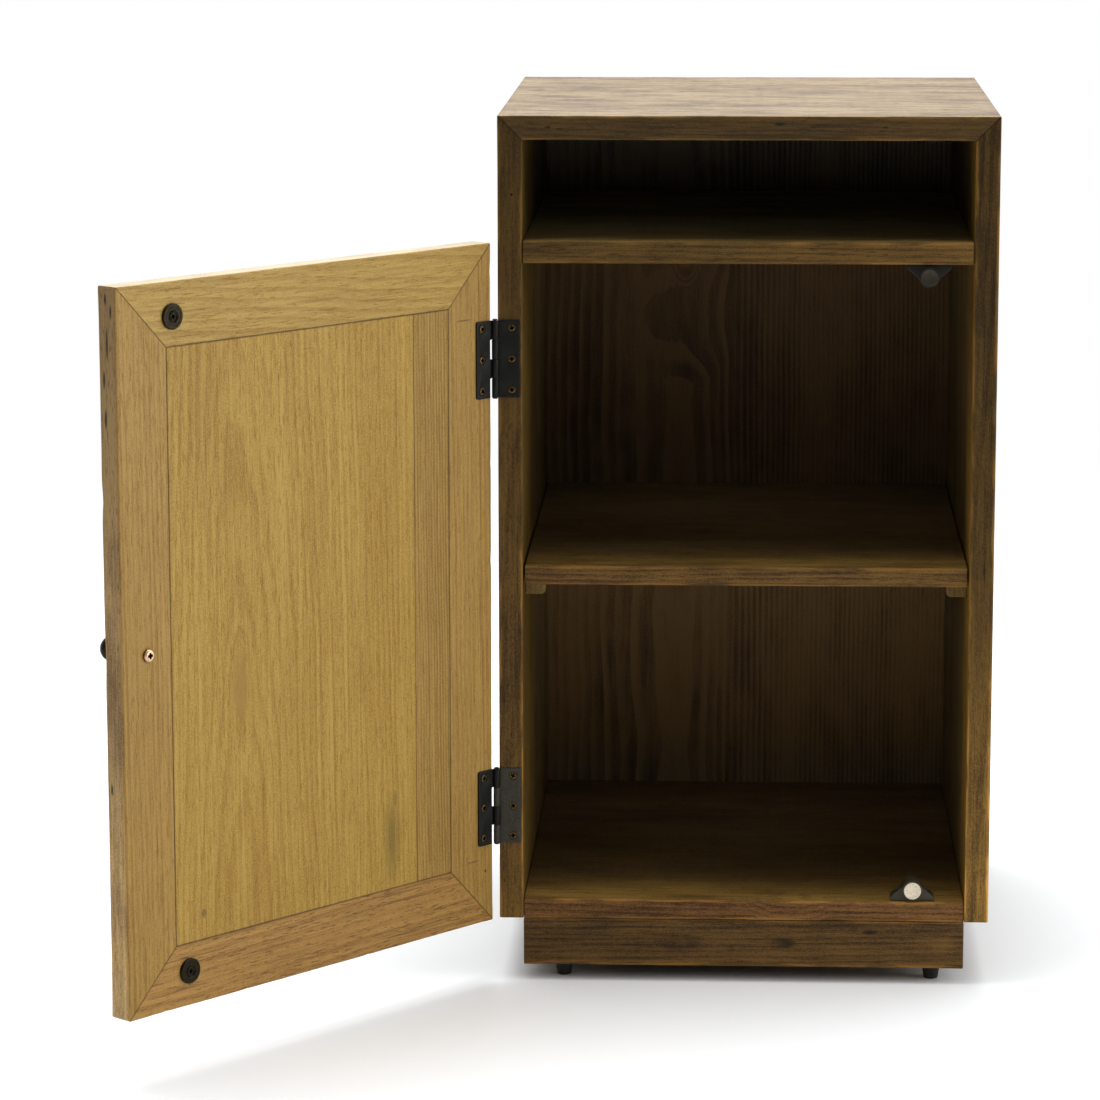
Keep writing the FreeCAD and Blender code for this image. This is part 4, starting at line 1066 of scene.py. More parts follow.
def prism(outline: Sequence[Flat], low: float, high: float, bevel: float) -> bmesh.types.BMesh:
    """An outline in the XY plane, raised from z = low to z = high with eased arrises."""
    shape = bmesh.new()
    face = shape.faces.new([shape.verts.new((x, y, low)) for x, y in outline])
    raised = bmesh.ops.extrude_face_region(shape, geom=[face])["geom"]
    top = [item for item in raised if isinstance(item, bmesh.types.BMVert)]
    bmesh.ops.translate(shape, verts=top, vec=(0, 0, high - low))
    bmesh.ops.recalc_face_normals(shape, faces=shape.faces)
    return ease_arrises(shape, bevel)


def joined(parts: Sequence[tuple[bmesh.types.BMesh, Matrix]]) -> bmesh.types.BMesh:
    """One shape of several, each put in its place first."""
    whole = bmesh.new()
    for part, place in parts:
        part.transform(place)
        scratch = bpy.data.meshes.new("part")
        part.to_mesh(scratch)
        part.free()
        whole.from_mesh(scratch)
        bpy.data.meshes.remove(scratch)
    return whole


STANDING = Matrix.Rotation(math.radians(90), 4, "X")  # a shape in XY stands up in XZ, facing the front


# ---------------------------------------------------------------- boards


@dataclass(frozen=True)
class Corner:
    """One corner of a board's section; below 0, its wear is the grime of a joint."""

    across: float
    through: float
    radius: float = JOINT_EASING
    wear: float = -1.0
    hollow: bool = False


@dataclass(frozen=True)
class EndCut:
    """Where a board ends along its grain, square or at a slope."""

    at: float
    across_slope: float = 0.0
    through_slope: float = 0.0
    easing: float = JOINT_EASING
    joint: bool = True


def round_corners(wide: int, high: int, centre: Flat, half: Flat, radius: float) -> Trim:
    """A trim that rounds the corners of a mitred frame, seen square on.

    Args:
        wide: which of along, across and through runs from side to side: 0, 1 or 2.
        high: which of them runs up.
        centre: the middle of the frame.
        half: half its width and half its height.
        radius: the radius of its corners.

    Returns:
        A function that pulls the points of a board in to the round corners.
    """

    def trim(*places: np.ndarray) -> None:
        """Pull the points beyond a round corner in to it."""
        sides = list(zip((places[wide], places[high]), centre, half))
        beyond = [np.abs(side - middle) - (reach - radius) for side, middle, reach in sides]
        away = np.hypot(*beyond)
        outside = (beyond[0] > 0) & (beyond[1] > 0) & (away > radius)
        scale = radius / away[outside]
        for (side, middle, reach), past in zip(sides, beyond):
            sign = np.sign(side - middle)[outside]
            side[outside] = middle + sign * (reach - radius + past[outside] * scale)

    return trim


@dataclass(frozen=True)
class Board:
    """A board whose arrises are eased, worn and nicked along their length."""

    name: str
    lay: Lay
    corners: tuple[Corner, ...]
    start: EndCut
    end: EndCut
    seed: int
    nicks: int = 3
    trim: Trim | None = None

    def _lengths(self) -> list[float]:
        """How long each side of the section is."""
        followers = (*self.corners[1:], self.corners[0])
        pairs = zip(self.corners, followers)
        return [math.hypot(b.across - a.across, b.through - a.through) for a, b in pairs]

    def _flats(self) -> list[np.ndarray]:
        """For each side of the section, where its points are, as shares of its length."""
        flats = []
        for length in self._lengths():
            near = [d for d in NEAR_ARRIS if d < length / 4]
            low = near[-1] if near else 0.0
            inner = max(2, round((length - 2 * low) / FACE_SPACING))
            middle = np.linspace(low, length - low, inner + 1)
            middle = middle if near else middle[1:-1]
            far = [length - d for d in reversed(near[:-1])]
            flats.append(np.array([*near[:-1], *middle, *far]) / length)
        return flats

    def _rings(self) -> list[Ring]:
        """The rings of points along the board, closer together near its ends."""
        turns = np.linspace(0, math.pi / 2, ARC_STEPS + 1)
        sides = []
        for end in (self.start, self.end):
            eased = [(end.easing * (1 - math.sin(a)), end.easing * (1 - math.cos(a))) for a in turns]
            sides.append(eased + [(0.0, end.easing + extra) for extra in NEAR_END])
        length = abs(self.end.at - self.start.at)
        count = max(2, round(length / RING_SPACING))
        middle = [(0.0, k / count, 2) for k in range(1, count)]
        first = [(inset, away, 0) for inset, away in sides[0]]
        last = [(inset, away, 1) for inset, away in reversed(sides[1])]
        return first + middle + last

    def _section(self, inset: float, radii: Sequence[float], flats: list[np.ndarray]) -> np.ndarray:
        """The points round one ring, as rows of across and through."""
        count = len(self.corners)
        places = np.array([(c.across, c.through) for c in self.corners])
        arcs = []
        for index, corner in enumerate(self.corners):
            back = places[index - 1] - places[index]
            ahead = places[(index + 1) % count] - places[index]
            back, ahead = back / np.linalg.norm(back), ahead / np.linalg.norm(ahead)
            inward = (back + ahead) * (-1 if corner.hollow else 1)
            middle = places[index] + inward * inset
            if corner.hollow:
                arcs.append(middle[None, :])
                continue
            radius = max(radii[index] - inset, 0.02 * MM)
            centre = middle + (back + ahead) * radius
            turns = np.linspace(0, math.pi / 2, ARC_STEPS + 1)[:, None]
            arcs.append(centre - ahead * radius * np.cos(turns) - back * radius * np.sin(turns))
        rows = []
        for index, arc in enumerate(arcs):
            start, stop = arc[-1], arcs[(index + 1) % count][0]
            rows += [arc, start + (stop - start) * flats[index][:, None]]
        return np.vstack(rows)

    def _wear(self, flats: list[np.ndarray], rings: list[Ring]) -> np.ndarray:
        """How worn each point is, one row to a ring: above 0 worn, below 0 grimed."""
        values = []
        for index, length in enumerate(self._lengths()):
            corner, follower = self.corners[index], self.corners[(index + 1) % len(self.corners)]
            values.append(np.full(1 if corner.hollow else ARC_STEPS + 1, corner.wear))
            near, far = flats[index] * length, (1 - flats[index]) * length
            reach = [WEAR_REACH if c.wear > 0 else GRIME_REACH for c in (corner, follower)]
            values.append(corner.wear * np.exp(-near / reach[0]) + follower.wear * np.exp(-far / reach[1]))
        rows = np.tile(np.concatenate(values), (len(rings), 1))
        for k, (_, away, which) in enumerate(rings):
            end = (self.start, self.end, None)[which]
            if end and end.joint:
                grime = math.exp(-max(away - end.easing, 0.0) / GRIME_REACH)
                rows[k] -= (1 + np.maximum(rows[k], 0)) * grime
        return np.clip(rows, -1, 1)

    def _radii(self, chance: Chance, nominal: np.ndarray, window: np.ndarray) -> list[np.ndarray]:
        """The radius of each arris at each ring, swelling with wear and nicks.

        Args:
            chance: the board's chance values.
            nominal: the place of each ring along the board.
            window: how far wear reaches at each ring, from 0 at the ends to 1.

        Returns:
            One row for each arris.
        """
        radii = []
        for corner in self.corners:
            swing = 0.3 * chance.line(nominal, 0.05) + 0.2 * chance.line(nominal, 0.011)
            grown = corner.radius * (1 + (0.5 + swing) * max(corner.wear, 0.0) * window)
            for _ in range(self.nicks if corner.wear > 0 else 0):
                middle = chance.random.uniform(nominal.min(), nominal.max())
                depth = chance.random.uniform(0.3, 1.0) * MM * corner.wear
                width = chance.random.uniform(2.5, 6.0) * MM
                grown = grown + window * depth * np.exp(-(((nominal - middle) / width) ** 2))
            radii.append(grown)
        return radii

    def _along(self, sections: np.ndarray, rings: list[Ring]) -> np.ndarray:
        """Where each point lies along the grain, following the slopes of the ends."""
        across, through = sections[..., 0], sections[..., 1]
        starts, ends = (
            end.at + end.across_slope * across + end.through_slope * through for end in (self.start, self.end)
        )
        reach = [end.easing + NEAR_END[-1] for end in (self.start, self.end)]
        along = np.empty_like(across)
        for k, (_, away, which) in enumerate(rings):
            between = (starts[k] + reach[0]) * (1 - away) + (ends[k] - reach[1]) * away
            along[k] = (starts[k] + away, ends[k] - away, between)[which]
        return along

    def _hollowed(self, sections: np.ndarray, chance: Chance, nominal: np.ndarray,
                  window: np.ndarray) -> np.ndarray:
        """The sections with their faces a little hollow in soft waves.

        Args:
            sections: the points round each ring.
            chance: the board's chance values.
            nominal: the place of each ring along the board.
            window: how far wear reaches at each ring, from 0 at the ends to 1.

        Returns:
            The points, moved inwards.
        """
        across, through = sections[..., 0], sections[..., 1]
        steps = np.linalg.norm(np.diff(sections[len(sections) // 2], axis=0, append=0), axis=1)
        around = np.concatenate([[0], np.cumsum(steps[:-1])])
        tangent = np.roll(sections, -1, axis=1) - np.roll(sections, 1, axis=1)
        tangent /= np.maximum(np.linalg.norm(tangent, axis=2, keepdims=True), 1e-12)
        turning = np.sum(across * np.roll(through, -1, 1) - np.roll(across, -1, 1) * through, axis=1)
        inward = np.stack([-tangent[..., 1], tangent[..., 0]], axis=2) * np.sign(turning)[:, None, None]
        dips = 0.5 + 0.3 * chance.sheet(nominal, around, 0.07, 0.035)
        dips = dips + 0.2 * chance.sheet(nominal, around, 0.02, 0.012)
        return sections + inward * (HOLLOW_DEPTH * dips * window[:, None])[..., None]

    def mesh(self) -> bpy.types.Mesh:
        """Build the board's mesh, with the attribute `wear` on its points."""
        chance = Chance(self.seed)
        flats, rings = self._flats(), self._rings()
        first, last = self.start.at, self.end.at
        nominal = np.array([
            (first + away, last - away, first + (last - first) * away)[which] for _, away, which in rings
        ])
        window = np.clip(np.minimum(nominal - nominal.min(), nominal.max() - nominal) / 0.02, 0, 1)
        radii = self._radii(chance, nominal, window)
        sections = np.array([
            self._section(inset, [r[k] for r in radii], flats) for k, (inset, _, _) in enumerate(rings)
        ])
        along = self._along(sections, rings)
        sections = self._hollowed(sections, chance, nominal, window)
        places = [values.ravel().copy() for values in (along, sections[..., 0], sections[..., 1])]
        if self.trim:
            self.trim(*places)
        size = sections.shape[1]
        faces = [tuple(range(size)), tuple(range((len(rings) - 1) * size, len(rings) * size))]
        for k in range(len(rings) - 1):
            for i in range(size):
                j = (i + 1) % size
                faces.append((k * size + i, k * size + j, (k + 1) * size + j, (k + 1) * size + i))
        mesh = bpy.data.meshes.new(self.name)
        mesh.from_pydata([tuple(p) for p in self.lay.place(*places)], [], faces)
        wear = mesh.attributes.new("wear", "FLOAT", "POINT")
        wear.data.foreach_set("value", self._wear(flats, rings).ravel().astype(np.float32))
        return self._outwards(mesh)

    def add(self, node: str, wood: CaseWood | DoorWood, body: Body = Body.CASE,
            slot: Slot = Slot.CASE_WOOD) -> None:
        """Finish the board and put it in the scene in the place of its node."""
        add_piece(self.name, self.mesh(), body, wood.paint(f"{node}_wood"), node)

    @staticmethod
    def _outwards(mesh: bpy.types.Mesh) -> bpy.types.Mesh:
        """Point the faces outwards, shade them smooth and keep the two ends crisp."""
        shape = bmesh.new()
        shape.from_mesh(mesh)
        bmesh.ops.recalc_face_normals(shape, faces=shape.faces)
        for face in shape.faces:
            face.smooth = len(face.verts) == 4
            if len(face.verts) > 4:
                for edge in face.edges:
                    edge.smooth = False
        shape.to_mesh(mesh)
        shape.free()
        return mesh


def rectangle(low: Flat, high: Flat, *eased: Ease) -> tuple[Corner, ...]:
    """A rectangular section.

    Args:
        low: its lowest places across and through.
        high: its highest places across and through.
        *eased: the ease of its corners, round from low-low by high-low; the last is used for the rest.

    Returns:
        Its four corners.
    """
    places = (low, (high[0], low[1]), high, (low[0], high[1]))
    kinds = list(eased) + [eased[-1]] * (4 - len(eased))
    return tuple(Corner(*place, *kind) for place, kind in zip(places, kinds))


def plain_board(name: str, node: str, lay: Lay, eased: Sequence[Ease], seed: int, nicks: int,
                inset: float = 0.0, easing: float = JOINT_EASING, joint: bool = False) -> Board:
    """A square-ended board that fills the box of a node.

    Args:
        name: the board's name.
        node: the node that it stands for.
        lay: how it lies.
        eased: the ease of its long arrises, as `rectangle` takes them.
        seed: the seed of its wear.
        nicks: how many nicks each worn arris has.
        inset: how far its ends stay inside the box.
        easing: how far its ends' arrises are eased.
        joint: whether its ends meet another board.

    Returns:
        The board.
    """
    box = Box.of(node)
    low, high = ([corner[axis.value] for axis in (lay.across, lay.through)] for corner in (box.low, box.high))
    ends = (box.low[lay.along.value] + inset, box.high[lay.along.value] - inset)
    start, end = (EndCut(at, easing=easing, joint=joint) for at in ends)
    return Board(name, lay, rectangle(low, high, *eased), start, end, seed, nicks)


# ---------------------------------------------------------------- screws


class Screws:
    """Screws set at given places by Geometry Nodes, each turned by chance about its own axis."""

    SIDES = 24

    def __init__(self, profile: Sequence[Flat], depth: float, arm: float = 0.68) -> None:
        """Draw the screw once, with a head of radius 1 and its axis along Z.

        Args:
            profile: (radius, height) from the edge of the head's flat crown round to the tip.
            depth: how far the cross-shaped hollow is sunk.
            arm: how far the cross reaches from the axis.
        """
        half = 0.36 * arm
        top = profile[0][1]
        quarter = [(arm, -half), (arm, half), (half * 1.3, half * 1.3)]
        turns = ((1, 0), (0, 1), (-1, 0), (0, -1))
        cross = [(x * cos - y * sin, x * sin + y * cos) for cos, sin in turns for x, y in quarter]
        shape = bmesh.new()
        recess = shape.verts.layers.float.new("recess")
        rings = [[shape.verts.new((x, y, h)) for x, y in circle(0, 0, r, self.SIDES)] for r, h in profile]
        rim = [shape.verts.new((x, y, top)) for x, y in cross]
        lip, floor = (
            [shape.verts.new((x * share, y * share, top - down)) for x, y in cross]
            for share, down in ((0.96, 0.03), (0.6, depth))
        )
        # Painted shade: the cross in the head is dark, and the head's rim is darkened as the shade of its
        # seat.
        for vertex in lip + floor:
            vertex[recess] = 1.0
        for ring, (radius, _) in zip(rings, profile):
            for vertex in ring:
                vertex[recess] = 0.85 if radius > 0.97 else 0.0
        for low, high in (*zip(rings, rings[1:]), (rim, lip), (lip, floor)):
            for k in range(len(low)):
                follower = (k + 1) % len(low)
                shape.faces.new((low[k], low[follower], high[follower], high[k]))
        shape.faces.new(floor)
        shape.faces.new(rings[-1])
        loops = [e for e in shape.edges if len(e.link_faces) == 1]
        bmesh.ops.triangle_fill(shape, edges=loops, use_beauty=True)
        mesh = to_mesh(shape)
        self.master = bpy.data.objects.new("screw_master", mesh)

    def _tree(self) -> tuple[bpy.types.NodeTree, dict[str, str]]:
        """The node tree that sets the screws, and the identifiers of its named inputs."""
        tree = bpy.data.node_groups.new("set_screws", "GeometryNodeTree")
        kinds = {"Places": "Geometry", "Screw": "Object", "Head radius": "Float", "Seed": "Int",
                 "Finish": "Material"}
        named = {}
        for name, kind in kinds.items():
            socket = tree.interface.new_socket(name, in_out="INPUT", socket_type=f"NodeSocket{kind}")
            named[name] = socket.identifier
        tree.interface.new_socket("Screws", in_out="OUTPUT", socket_type="NodeSocketGeometry")
        kit = Painter(tree)
        given = {name: kit.node("NodeGroupInput", output=name) for name in kinds}
        heading = kit.node("GeometryNodeInputNamedAttribute", {"data_type": "FLOAT_VECTOR"},
                           {"Name": "heading"}, output="Attribute")
        facing = kit.node("FunctionNodeAlignRotationToVector", {"axis": "Z"}, {"Vector": heading})
        angle = kit.node("FunctionNodeRandomValue", {"data_type": "FLOAT"},
                         {2: 0.0, 3: 2 * math.pi, "Seed": given["Seed"]}, output=1)
        spin = kit.node("FunctionNodeAxisAngleToRotation", {}, {"Axis": (0, 0, 1), "Angle": angle})
        turned = kit.node("FunctionNodeRotateRotation", {"rotation_space": "LOCAL"},
                          {"Rotation": facing, "Rotate By": spin})
        screw = kit.node("GeometryNodeObjectInfo", {}, {"Object": given["Screw"]}, output="Geometry")
        placed = kit.node("GeometryNodeInstanceOnPoints", {}, {
            "Points": given["Places"], "Instance": screw, "Rotation": turned, "Scale": given["Head radius"],
        })
        real = kit.node("GeometryNodeRealizeInstances", {}, {"Geometry": placed})
        dressed = kit.node("GeometryNodeSetMaterial", {}, {"Geometry": real, "Material": given["Finish"]})
        kit.node("NodeGroupOutput", {}, {0: dressed})
        return tree, named

    def add(self, name: str, node: str, places: Sequence[tuple[Point, Point]], head_radius: float,
            seed: int, finish: Finish, body: Body) -> None:
        """Set a screw at each place and put them in the scene as one piece.

        Args:
            name: the name of the piece.
            node: the node that it stands for.
            places: the middle of each head and the direction that it faces.
            head_radius: the radius of the heads.
            seed: the seed of their turns.
            finish: their finish.
            body: the body that they move with.
        """
        seats = bpy.data.meshes.new(name + "_seats")
        seats.from_pydata([place for place, _ in places], [], [])
        heading = seats.attributes.new("heading", "FLOAT_VECTOR", "POINT")
        heading.data.foreach_set("vector", [value for _, facing in places for value in facing])
        holder = bpy.data.objects.new(name + "_seats", seats)
        bpy.context.scene.collection.objects.link(holder)
        tree, named = self._tree()
        modifier = holder.modifiers.new("screws", "NODES")
        modifier.node_group = tree
        inputs = {"Screw": self.master, "Head radius": head_radius, "Seed": seed, "Finish": finish.material()}
        for key, value in inputs.items():
            modifier[named[key]] = value
        graph = bpy.context.evaluated_depsgraph_get()
        mesh = bpy.data.meshes.new_from_object(holder.evaluated_get(graph))
        holder.modifiers.remove(modifier)
        bpy.data.objects.remove(holder)
        bpy.data.node_groups.remove(tree)
        finish.add(name, mesh, body, node)


FLAT_HEAD = ((0.90, 0.0), (1.0, -0.08), (1.0, -0.12), (0.46, -0.58), (0.42, -2.4), (0.16, -3.0))
PAN_HEAD = ((0.66, 0.57), (0.82, 0.52), (0.94, 0.41), (1.0, 0.24), (1.0, 0.0), (0.43, 0.0), (0.42, -2.4),
            (0.16, -3.0))


# ---------------------------------------------------------------- case


@dataclass
class Case:
    """The mitred case with its fixed boards, back, cleats and plinth."""

    top: Box = field(default_factory=lambda: Box.of("top_panel"))
    right: Box = field(default_factory=lambda: Box.of("right_side_panel"))
    back: Box = field(default_factory=lambda: Box.of("back_panel"))
    mitre_round: float = 1.4 * MM
    arris: float = 1.0 * MM
    end_gap: float = 0.3 * MM

    def _round_mitre(self, wide: int, high: int) -> Trim:
        """The trim that rounds the arris which the top and a side share along their mitre."""
        return round_corners(wide, high, (0.0, 0.0), (self.top.high.x, self.top.high.z), self.mitre_round)

    def _rebated(self, low: float, high: float, inner: float, outer: float) -> tuple[Corner, ...]:
        """The section of a board with the back panel's rebate on its inner side.

        Args:
            low: the front of the board.
            high: the back of the board.
            inner: the place through of its inner face.
            outer: the place through of its outer face.

        Returns:
            The corners of the section.
        """
        seat = self.back.low.y
        step = abs(self.back.high.x - self.right.low.x) * (1 if outer > inner else -1)
        return (
            Corner(low, inner, self.arris * 0.8, 0.9),
            Corner(seat, inner, JOINT_EASING),
            Corner(seat, inner + step, hollow=True),
            Corner(high, inner + step, JOINT_EASING),
            Corner(high, outer, self.arris, 0.8),
            Corner(low, outer, self.arris, 1.0),
        )

    def build(self) -> None:
        """Build every board of the case."""
        self._top()
        self._sides()
        self._fixed_boards()
        self._back_and_cleats()
        self._plinth()

    def _top(self) -> None:
        """The top, mitred to the sides."""
        low, high = self.top.low, self.top.high
        reach = high.x - high.z
        board = Board(
            "worn_top_panel", FLAT_LAY, self._rebated(low.y, high.y, low.z, high.z),
            EndCut(-reach, through_slope=-1.0), EndCut(reach, through_slope=1.0),
            seed=11, nicks=5, trim=self._round_mitre(0, 2),
        )
        # The top face takes a paler coat than its edges: in part paler wood, in part a painted sheen of the
        # light from above.
        pale = StainedTimber(
            dark=tone(92, 68, 40), light=tone(160, 138, 102), pore=tone(54, 38, 20),
            rubbed=tone(176, 150, 108), soft_share=2.0, fibre_share=2.6, crack_share=0.9, pore_share=0.5,
            gloss=0.38,
        )
        cracks = marks_of(
            tone(46, 32, 16), (-0.110, 0.033, 0.015, 0.004), (0.0695, 0.038, 0.017, 0.004),
            (0.174, -0.123, 0.016, 0.003), (-0.182, 0.054, 0.012, 0.004), strength=0.9, ragged=0.6, pit=True,
        )
        pits = marks_of(
            tone(20, 14, 8), (-0.162, 0.7125, 0.003, 0.0014), (-0.1525, 0.711, 0.004, 0.0010),
            (0.025, 0.7154, 0.006, 0.0016), (0.052, 0.713, 0.003, 0.0014), (0.110, 0.713, 0.003, 0.0012),
            pit=True, on_edge=True,
        )
        cut = Cut(seed=1, pith_across=-0.24, pith_below=-0.68, rise=0.03, ring=4 * MM, marks=(*cracks, *pits))
        board.add("top_panel", CaseWood(
            FLAT_LAY, cut, second=pale, second_from=high.z - 0.8 * MM, ripple=1.2 * MM, sheen=0.22,
            # Painted shade: the top's edges darker towards the left.
            painted_light=(PaintedLight(X, -high.x, high.x, 0.88, 1.0),),
        ))

    def _sides(self) -> None:
        """The two sides, mitred to the top and eased at the foot."""
        low, high = self.right.low, self.right.high
        front, reach = low.y, self.top.high.z - high.x
        edge = front + 1.3 * MM
        # Painted light: the front edges made lighter towards the foot, the right one the most.
        left_front_light = PaintedLight(Z, 0.68, 0.08, 0.76, 1.95, before=edge)
        right_front_light = PaintedLight(Z, 0.36, 0.0, 1.02, 3.9, before=edge)
        # Painted light and shade on the inner faces: darker near the front on the left and golden at the
        # front on the right, then lighter and bluer towards the back; the left is also lighter low down.
        left_inside_light = (
            PaintedLight(Y, front + 0.11, front + 0.31, (0.56, 0.5, 0.34), (1.22, 1.32, 1.8)),
            PaintedLight(Z, 0.36, 0.30, 1.0, 1.3),
        )
        right_inside_light = (
            PaintedLight(Y, front + 0.006, front + 0.12, (1.25, 1.1, 0.62), (0.74, 0.78, 1.0)),
            PaintedLight(Y, front + 0.20, front + 0.36, 1.0, (1.35, 1.5, 1.9)),
        )
        left_pit = Mark(0.658, -0.1915, 0.0016, 0.0016, tone(14, 10, 6), 0.95, 0.0, pit=True, on_edge=True)
        right_pit = Mark(0.350, 0.195, 0.012, 0.0009, tone(20, 17, 16), 0.95, 0.3, pit=True, on_edge=True)
        for name, side, seed, light_gain, inside_light, pit in (
            ("left", -1, 12, left_front_light, left_inside_light, left_pit),
            ("right", 1, 13, right_front_light, right_inside_light, right_pit),
        ):
            board = Board(
                f"worn_{name}_side", UPRIGHT_LAY, self._rebated(low.y, high.y, side * low.x, side * high.x),
                EndCut(low.z, easing=0.8 * MM, joint=False), EndCut(reach, through_slope=side * 1.0),
                seed=seed, nicks=6, trim=self._round_mitre(2, 0),
            )
            cut = Cut(seed=seed, pith_across=-0.3, pith_below=-side * 0.155, rise=0.0, slant=0.03 * side,
                      ring=4.5 * MM, marks=(pit,))
            board.add(f"{name}_side_panel", CaseWood(
                UPRIGHT_LAY, cut, second=INSIDE, second_axis=X, second_from=side * (low.x + 0.6 * MM),
                second_side=-side, painted_light=(light_gain,), second_painted_light=inside_light,
            ))

    def _fixed_boards(self) -> None:
        """The divider over the door and the bottom board."""
        golden = StainedTimber(dark=tone(62, 44, 18), light=tone(116, 88, 42))
        russet = StainedTimber(dark=tone(58, 38, 18), light=tone(112, 78, 42), ring_share=0.4)
        crack = Mark(0.066, 0.6185, 0.012, 0.0008, tone(20, 14, 8), pit=True, on_edge=True)
        front = self.top.low.y
        # Painted light and shade on the top faces inside: darker just behind the front edge, then lighter and
        # bluer towards the back.
        divider_inside_light = (
            PaintedLight(Y, front + 0.005, front + 0.03, 1.05, 0.55),
            PaintedLight(Y, front + 0.04, front + 0.25, 1.0, (4.5, 6.0, 10.0)),
        )
        floor_inside_light = (
            PaintedLight(Y, front + 0.02, front + 0.095, (1.22, 1.1, 0.84), (0.44, 0.40, 0.46)),
            PaintedLight(Y, front + 0.17, front + 0.34, 1.0, (2.4, 2.7, 3.7)),
        )
        dip = Eye(0.040, front, 0.034, 0.03, 0.007)
        worn, joint = (self.arris, 1.0), (JOINT_EASING, -1.0)
        for node, seed, stain, marks, eyes, light_gain, inside_light in (
            ("divider_shelf", 21, golden, (crack,), (), (0.84, 1.2), divider_inside_light),
            ("bottom_board", 22, russet, (), (dip,), (1.56, 1.74), floor_inside_light),
        ):
            box = Box.of(node)
            low, high = box.low, box.high
            board = plain_board(f"worn_{node}", node, FLAT_LAY, (worn, joint, joint, worn), seed, 3,
                                self.end_gap, joint=True)
            cut = Cut(seed=seed, pith_across=low.y, pith_below=0.03 - low.z, rise=0.012, ring=5 * MM,
                      wander=1.2 * MM, marks=marks, eyes=eyes)
            # Painted light: the front edges made lighter towards the right, and the bottom board's lighter
            # overall.
            side_light = PaintedLight(X, low.x, high.x, *light_gain)
            board.add(node, CaseWood(FLAT_LAY, cut, stain, INSIDE, Y, low.y + 1.0 * MM,
                                     painted_light=(side_light,), second_painted_light=inside_light))

    def _back_and_cleats(self) -> None:
        """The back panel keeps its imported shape; the cleats are eased battens."""
        saddle, knot = Eye(0.509, -0.055, 0.070, 0.050, 0.0062), Eye(0.553, -0.056, 0.022, 0.014, -0.007)
        cut = Cut(seed=5, pith_across=-0.060, pith_below=0.065 - self.back.low.y, rise=0.0, squeeze=0.6,
                  ring=3.9 * MM, wander=1.6 * MM, fret=0.12, eyes=(saddle, knot))
        figured = StainedTimber(dark=tone(66, 47, 29), light=tone(150, 118, 72), ring_share=-0.85,
                                fibre_share=0.7, pore_share=0.1, line_share=0.1, crack_share=0.0)
        # Painted light and shade on the back's inner face: bands by height made darker, lighter and tinted,
        # and the open cubby's back above the divider much lighter and bluer.
        painted_light = (
            PaintedLight(Z, 0.56, 0.436, (0.70, 0.67, 0.69), (0.79, 0.77, 0.95)),
            PaintedLight(Z, 0.436, 0.372, 1.0, (1.09, 1.25, 1.6)),
            PaintedLight(Z, 0.346, 0.342, 1.0, (1.43, 1.28, 0.83)),
            PaintedLight(Z, 0.125, 0.079, 1.0, (0.95, 1.2, 1.8)),
            PaintedLight(Z, 0.60, 0.64, 1.0, (2.4, 3.6, 7.0)),
        )
        middle = (self.back.low.y + self.back.high.y) / 2
        dress_node("back_panel", CaseWood(
            BACK_LAY, cut, second=figured, second_axis=Y, second_from=middle, second_side=-1,
            second_painted_light=painted_light, worn=False, sheen=0.1,
        ).paint("back_panel_wood"))
        soft, plain = (4.0 * MM, 0.5), (0.6 * MM, 0.5)
        for seed, name, eased in ((30, "left", (plain, soft, plain)), (31, "right", (soft, plain))):
            node = f"shelf_cleat_{name}"
            board = plain_board(f"eased_cleat_{name}", node, CLEAT_LAY, eased, seed, 1, easing=0.8 * MM)
            board.add(node, CaseWood(CLEAT_LAY, Cut(seed=seed, pith_below=-0.3), INSIDE))

    def _plinth(self) -> None:
        """The four plinth boards, the front one worn along its foot."""
        scuffs = (
            *marks_of(tone(26, 20, 14), (-0.053, 0.034, 0.024, 0.008), (0.033, 0.034, 0.014, 0.006),
                      (0.105, 0.044, 0.008, 0.0025), strength=0.9),
            Mark(0.160, 0.034, 0.022, 0.010, tone(142, 104, 54), 0.2),
        )
        stain = StainedTimber(dark=tone(48, 34, 16), light=tone(98, 72, 36))
        foot, head, plain = (1.3 * MM, 1.0), (0.5 * MM, 0.4), (JOINT_EASING, -1.0)
        for seed, name in enumerate(("front", "back", "left", "right"), start=41):
            node = f"plinth_{name}_board"
            lengthwise = name in ("front", "back")
            lay = PLINTH_LAY if lengthwise else PLINTH_SIDE_LAY
            eased = (foot, head, plain, plain) if name in ("front", "left") else (plain, plain, head, foot)
            easing = 1.1 * MM if lengthwise else JOINT_EASING
            board = plain_board(f"worn_{node}", node, lay, eased, seed, 5, 0.0, easing, not lengthwise)
            low = Box.of(node).low[lay.through.value]
            cut = Cut(seed=seed, pith_across=-0.02, pith_below=-low + 0.01, rise=0.0, slant=0.02,
                      ring=5 * MM, marks=scuffs if name == "front" else ())
            # Painted light: the plinth boards made lighter, a little more towards the right.
            board.add(node, CaseWood(lay, cut, stain, painted_light=(PaintedLight(X, -0.18, 0.18, 1.38, 1.6),)))


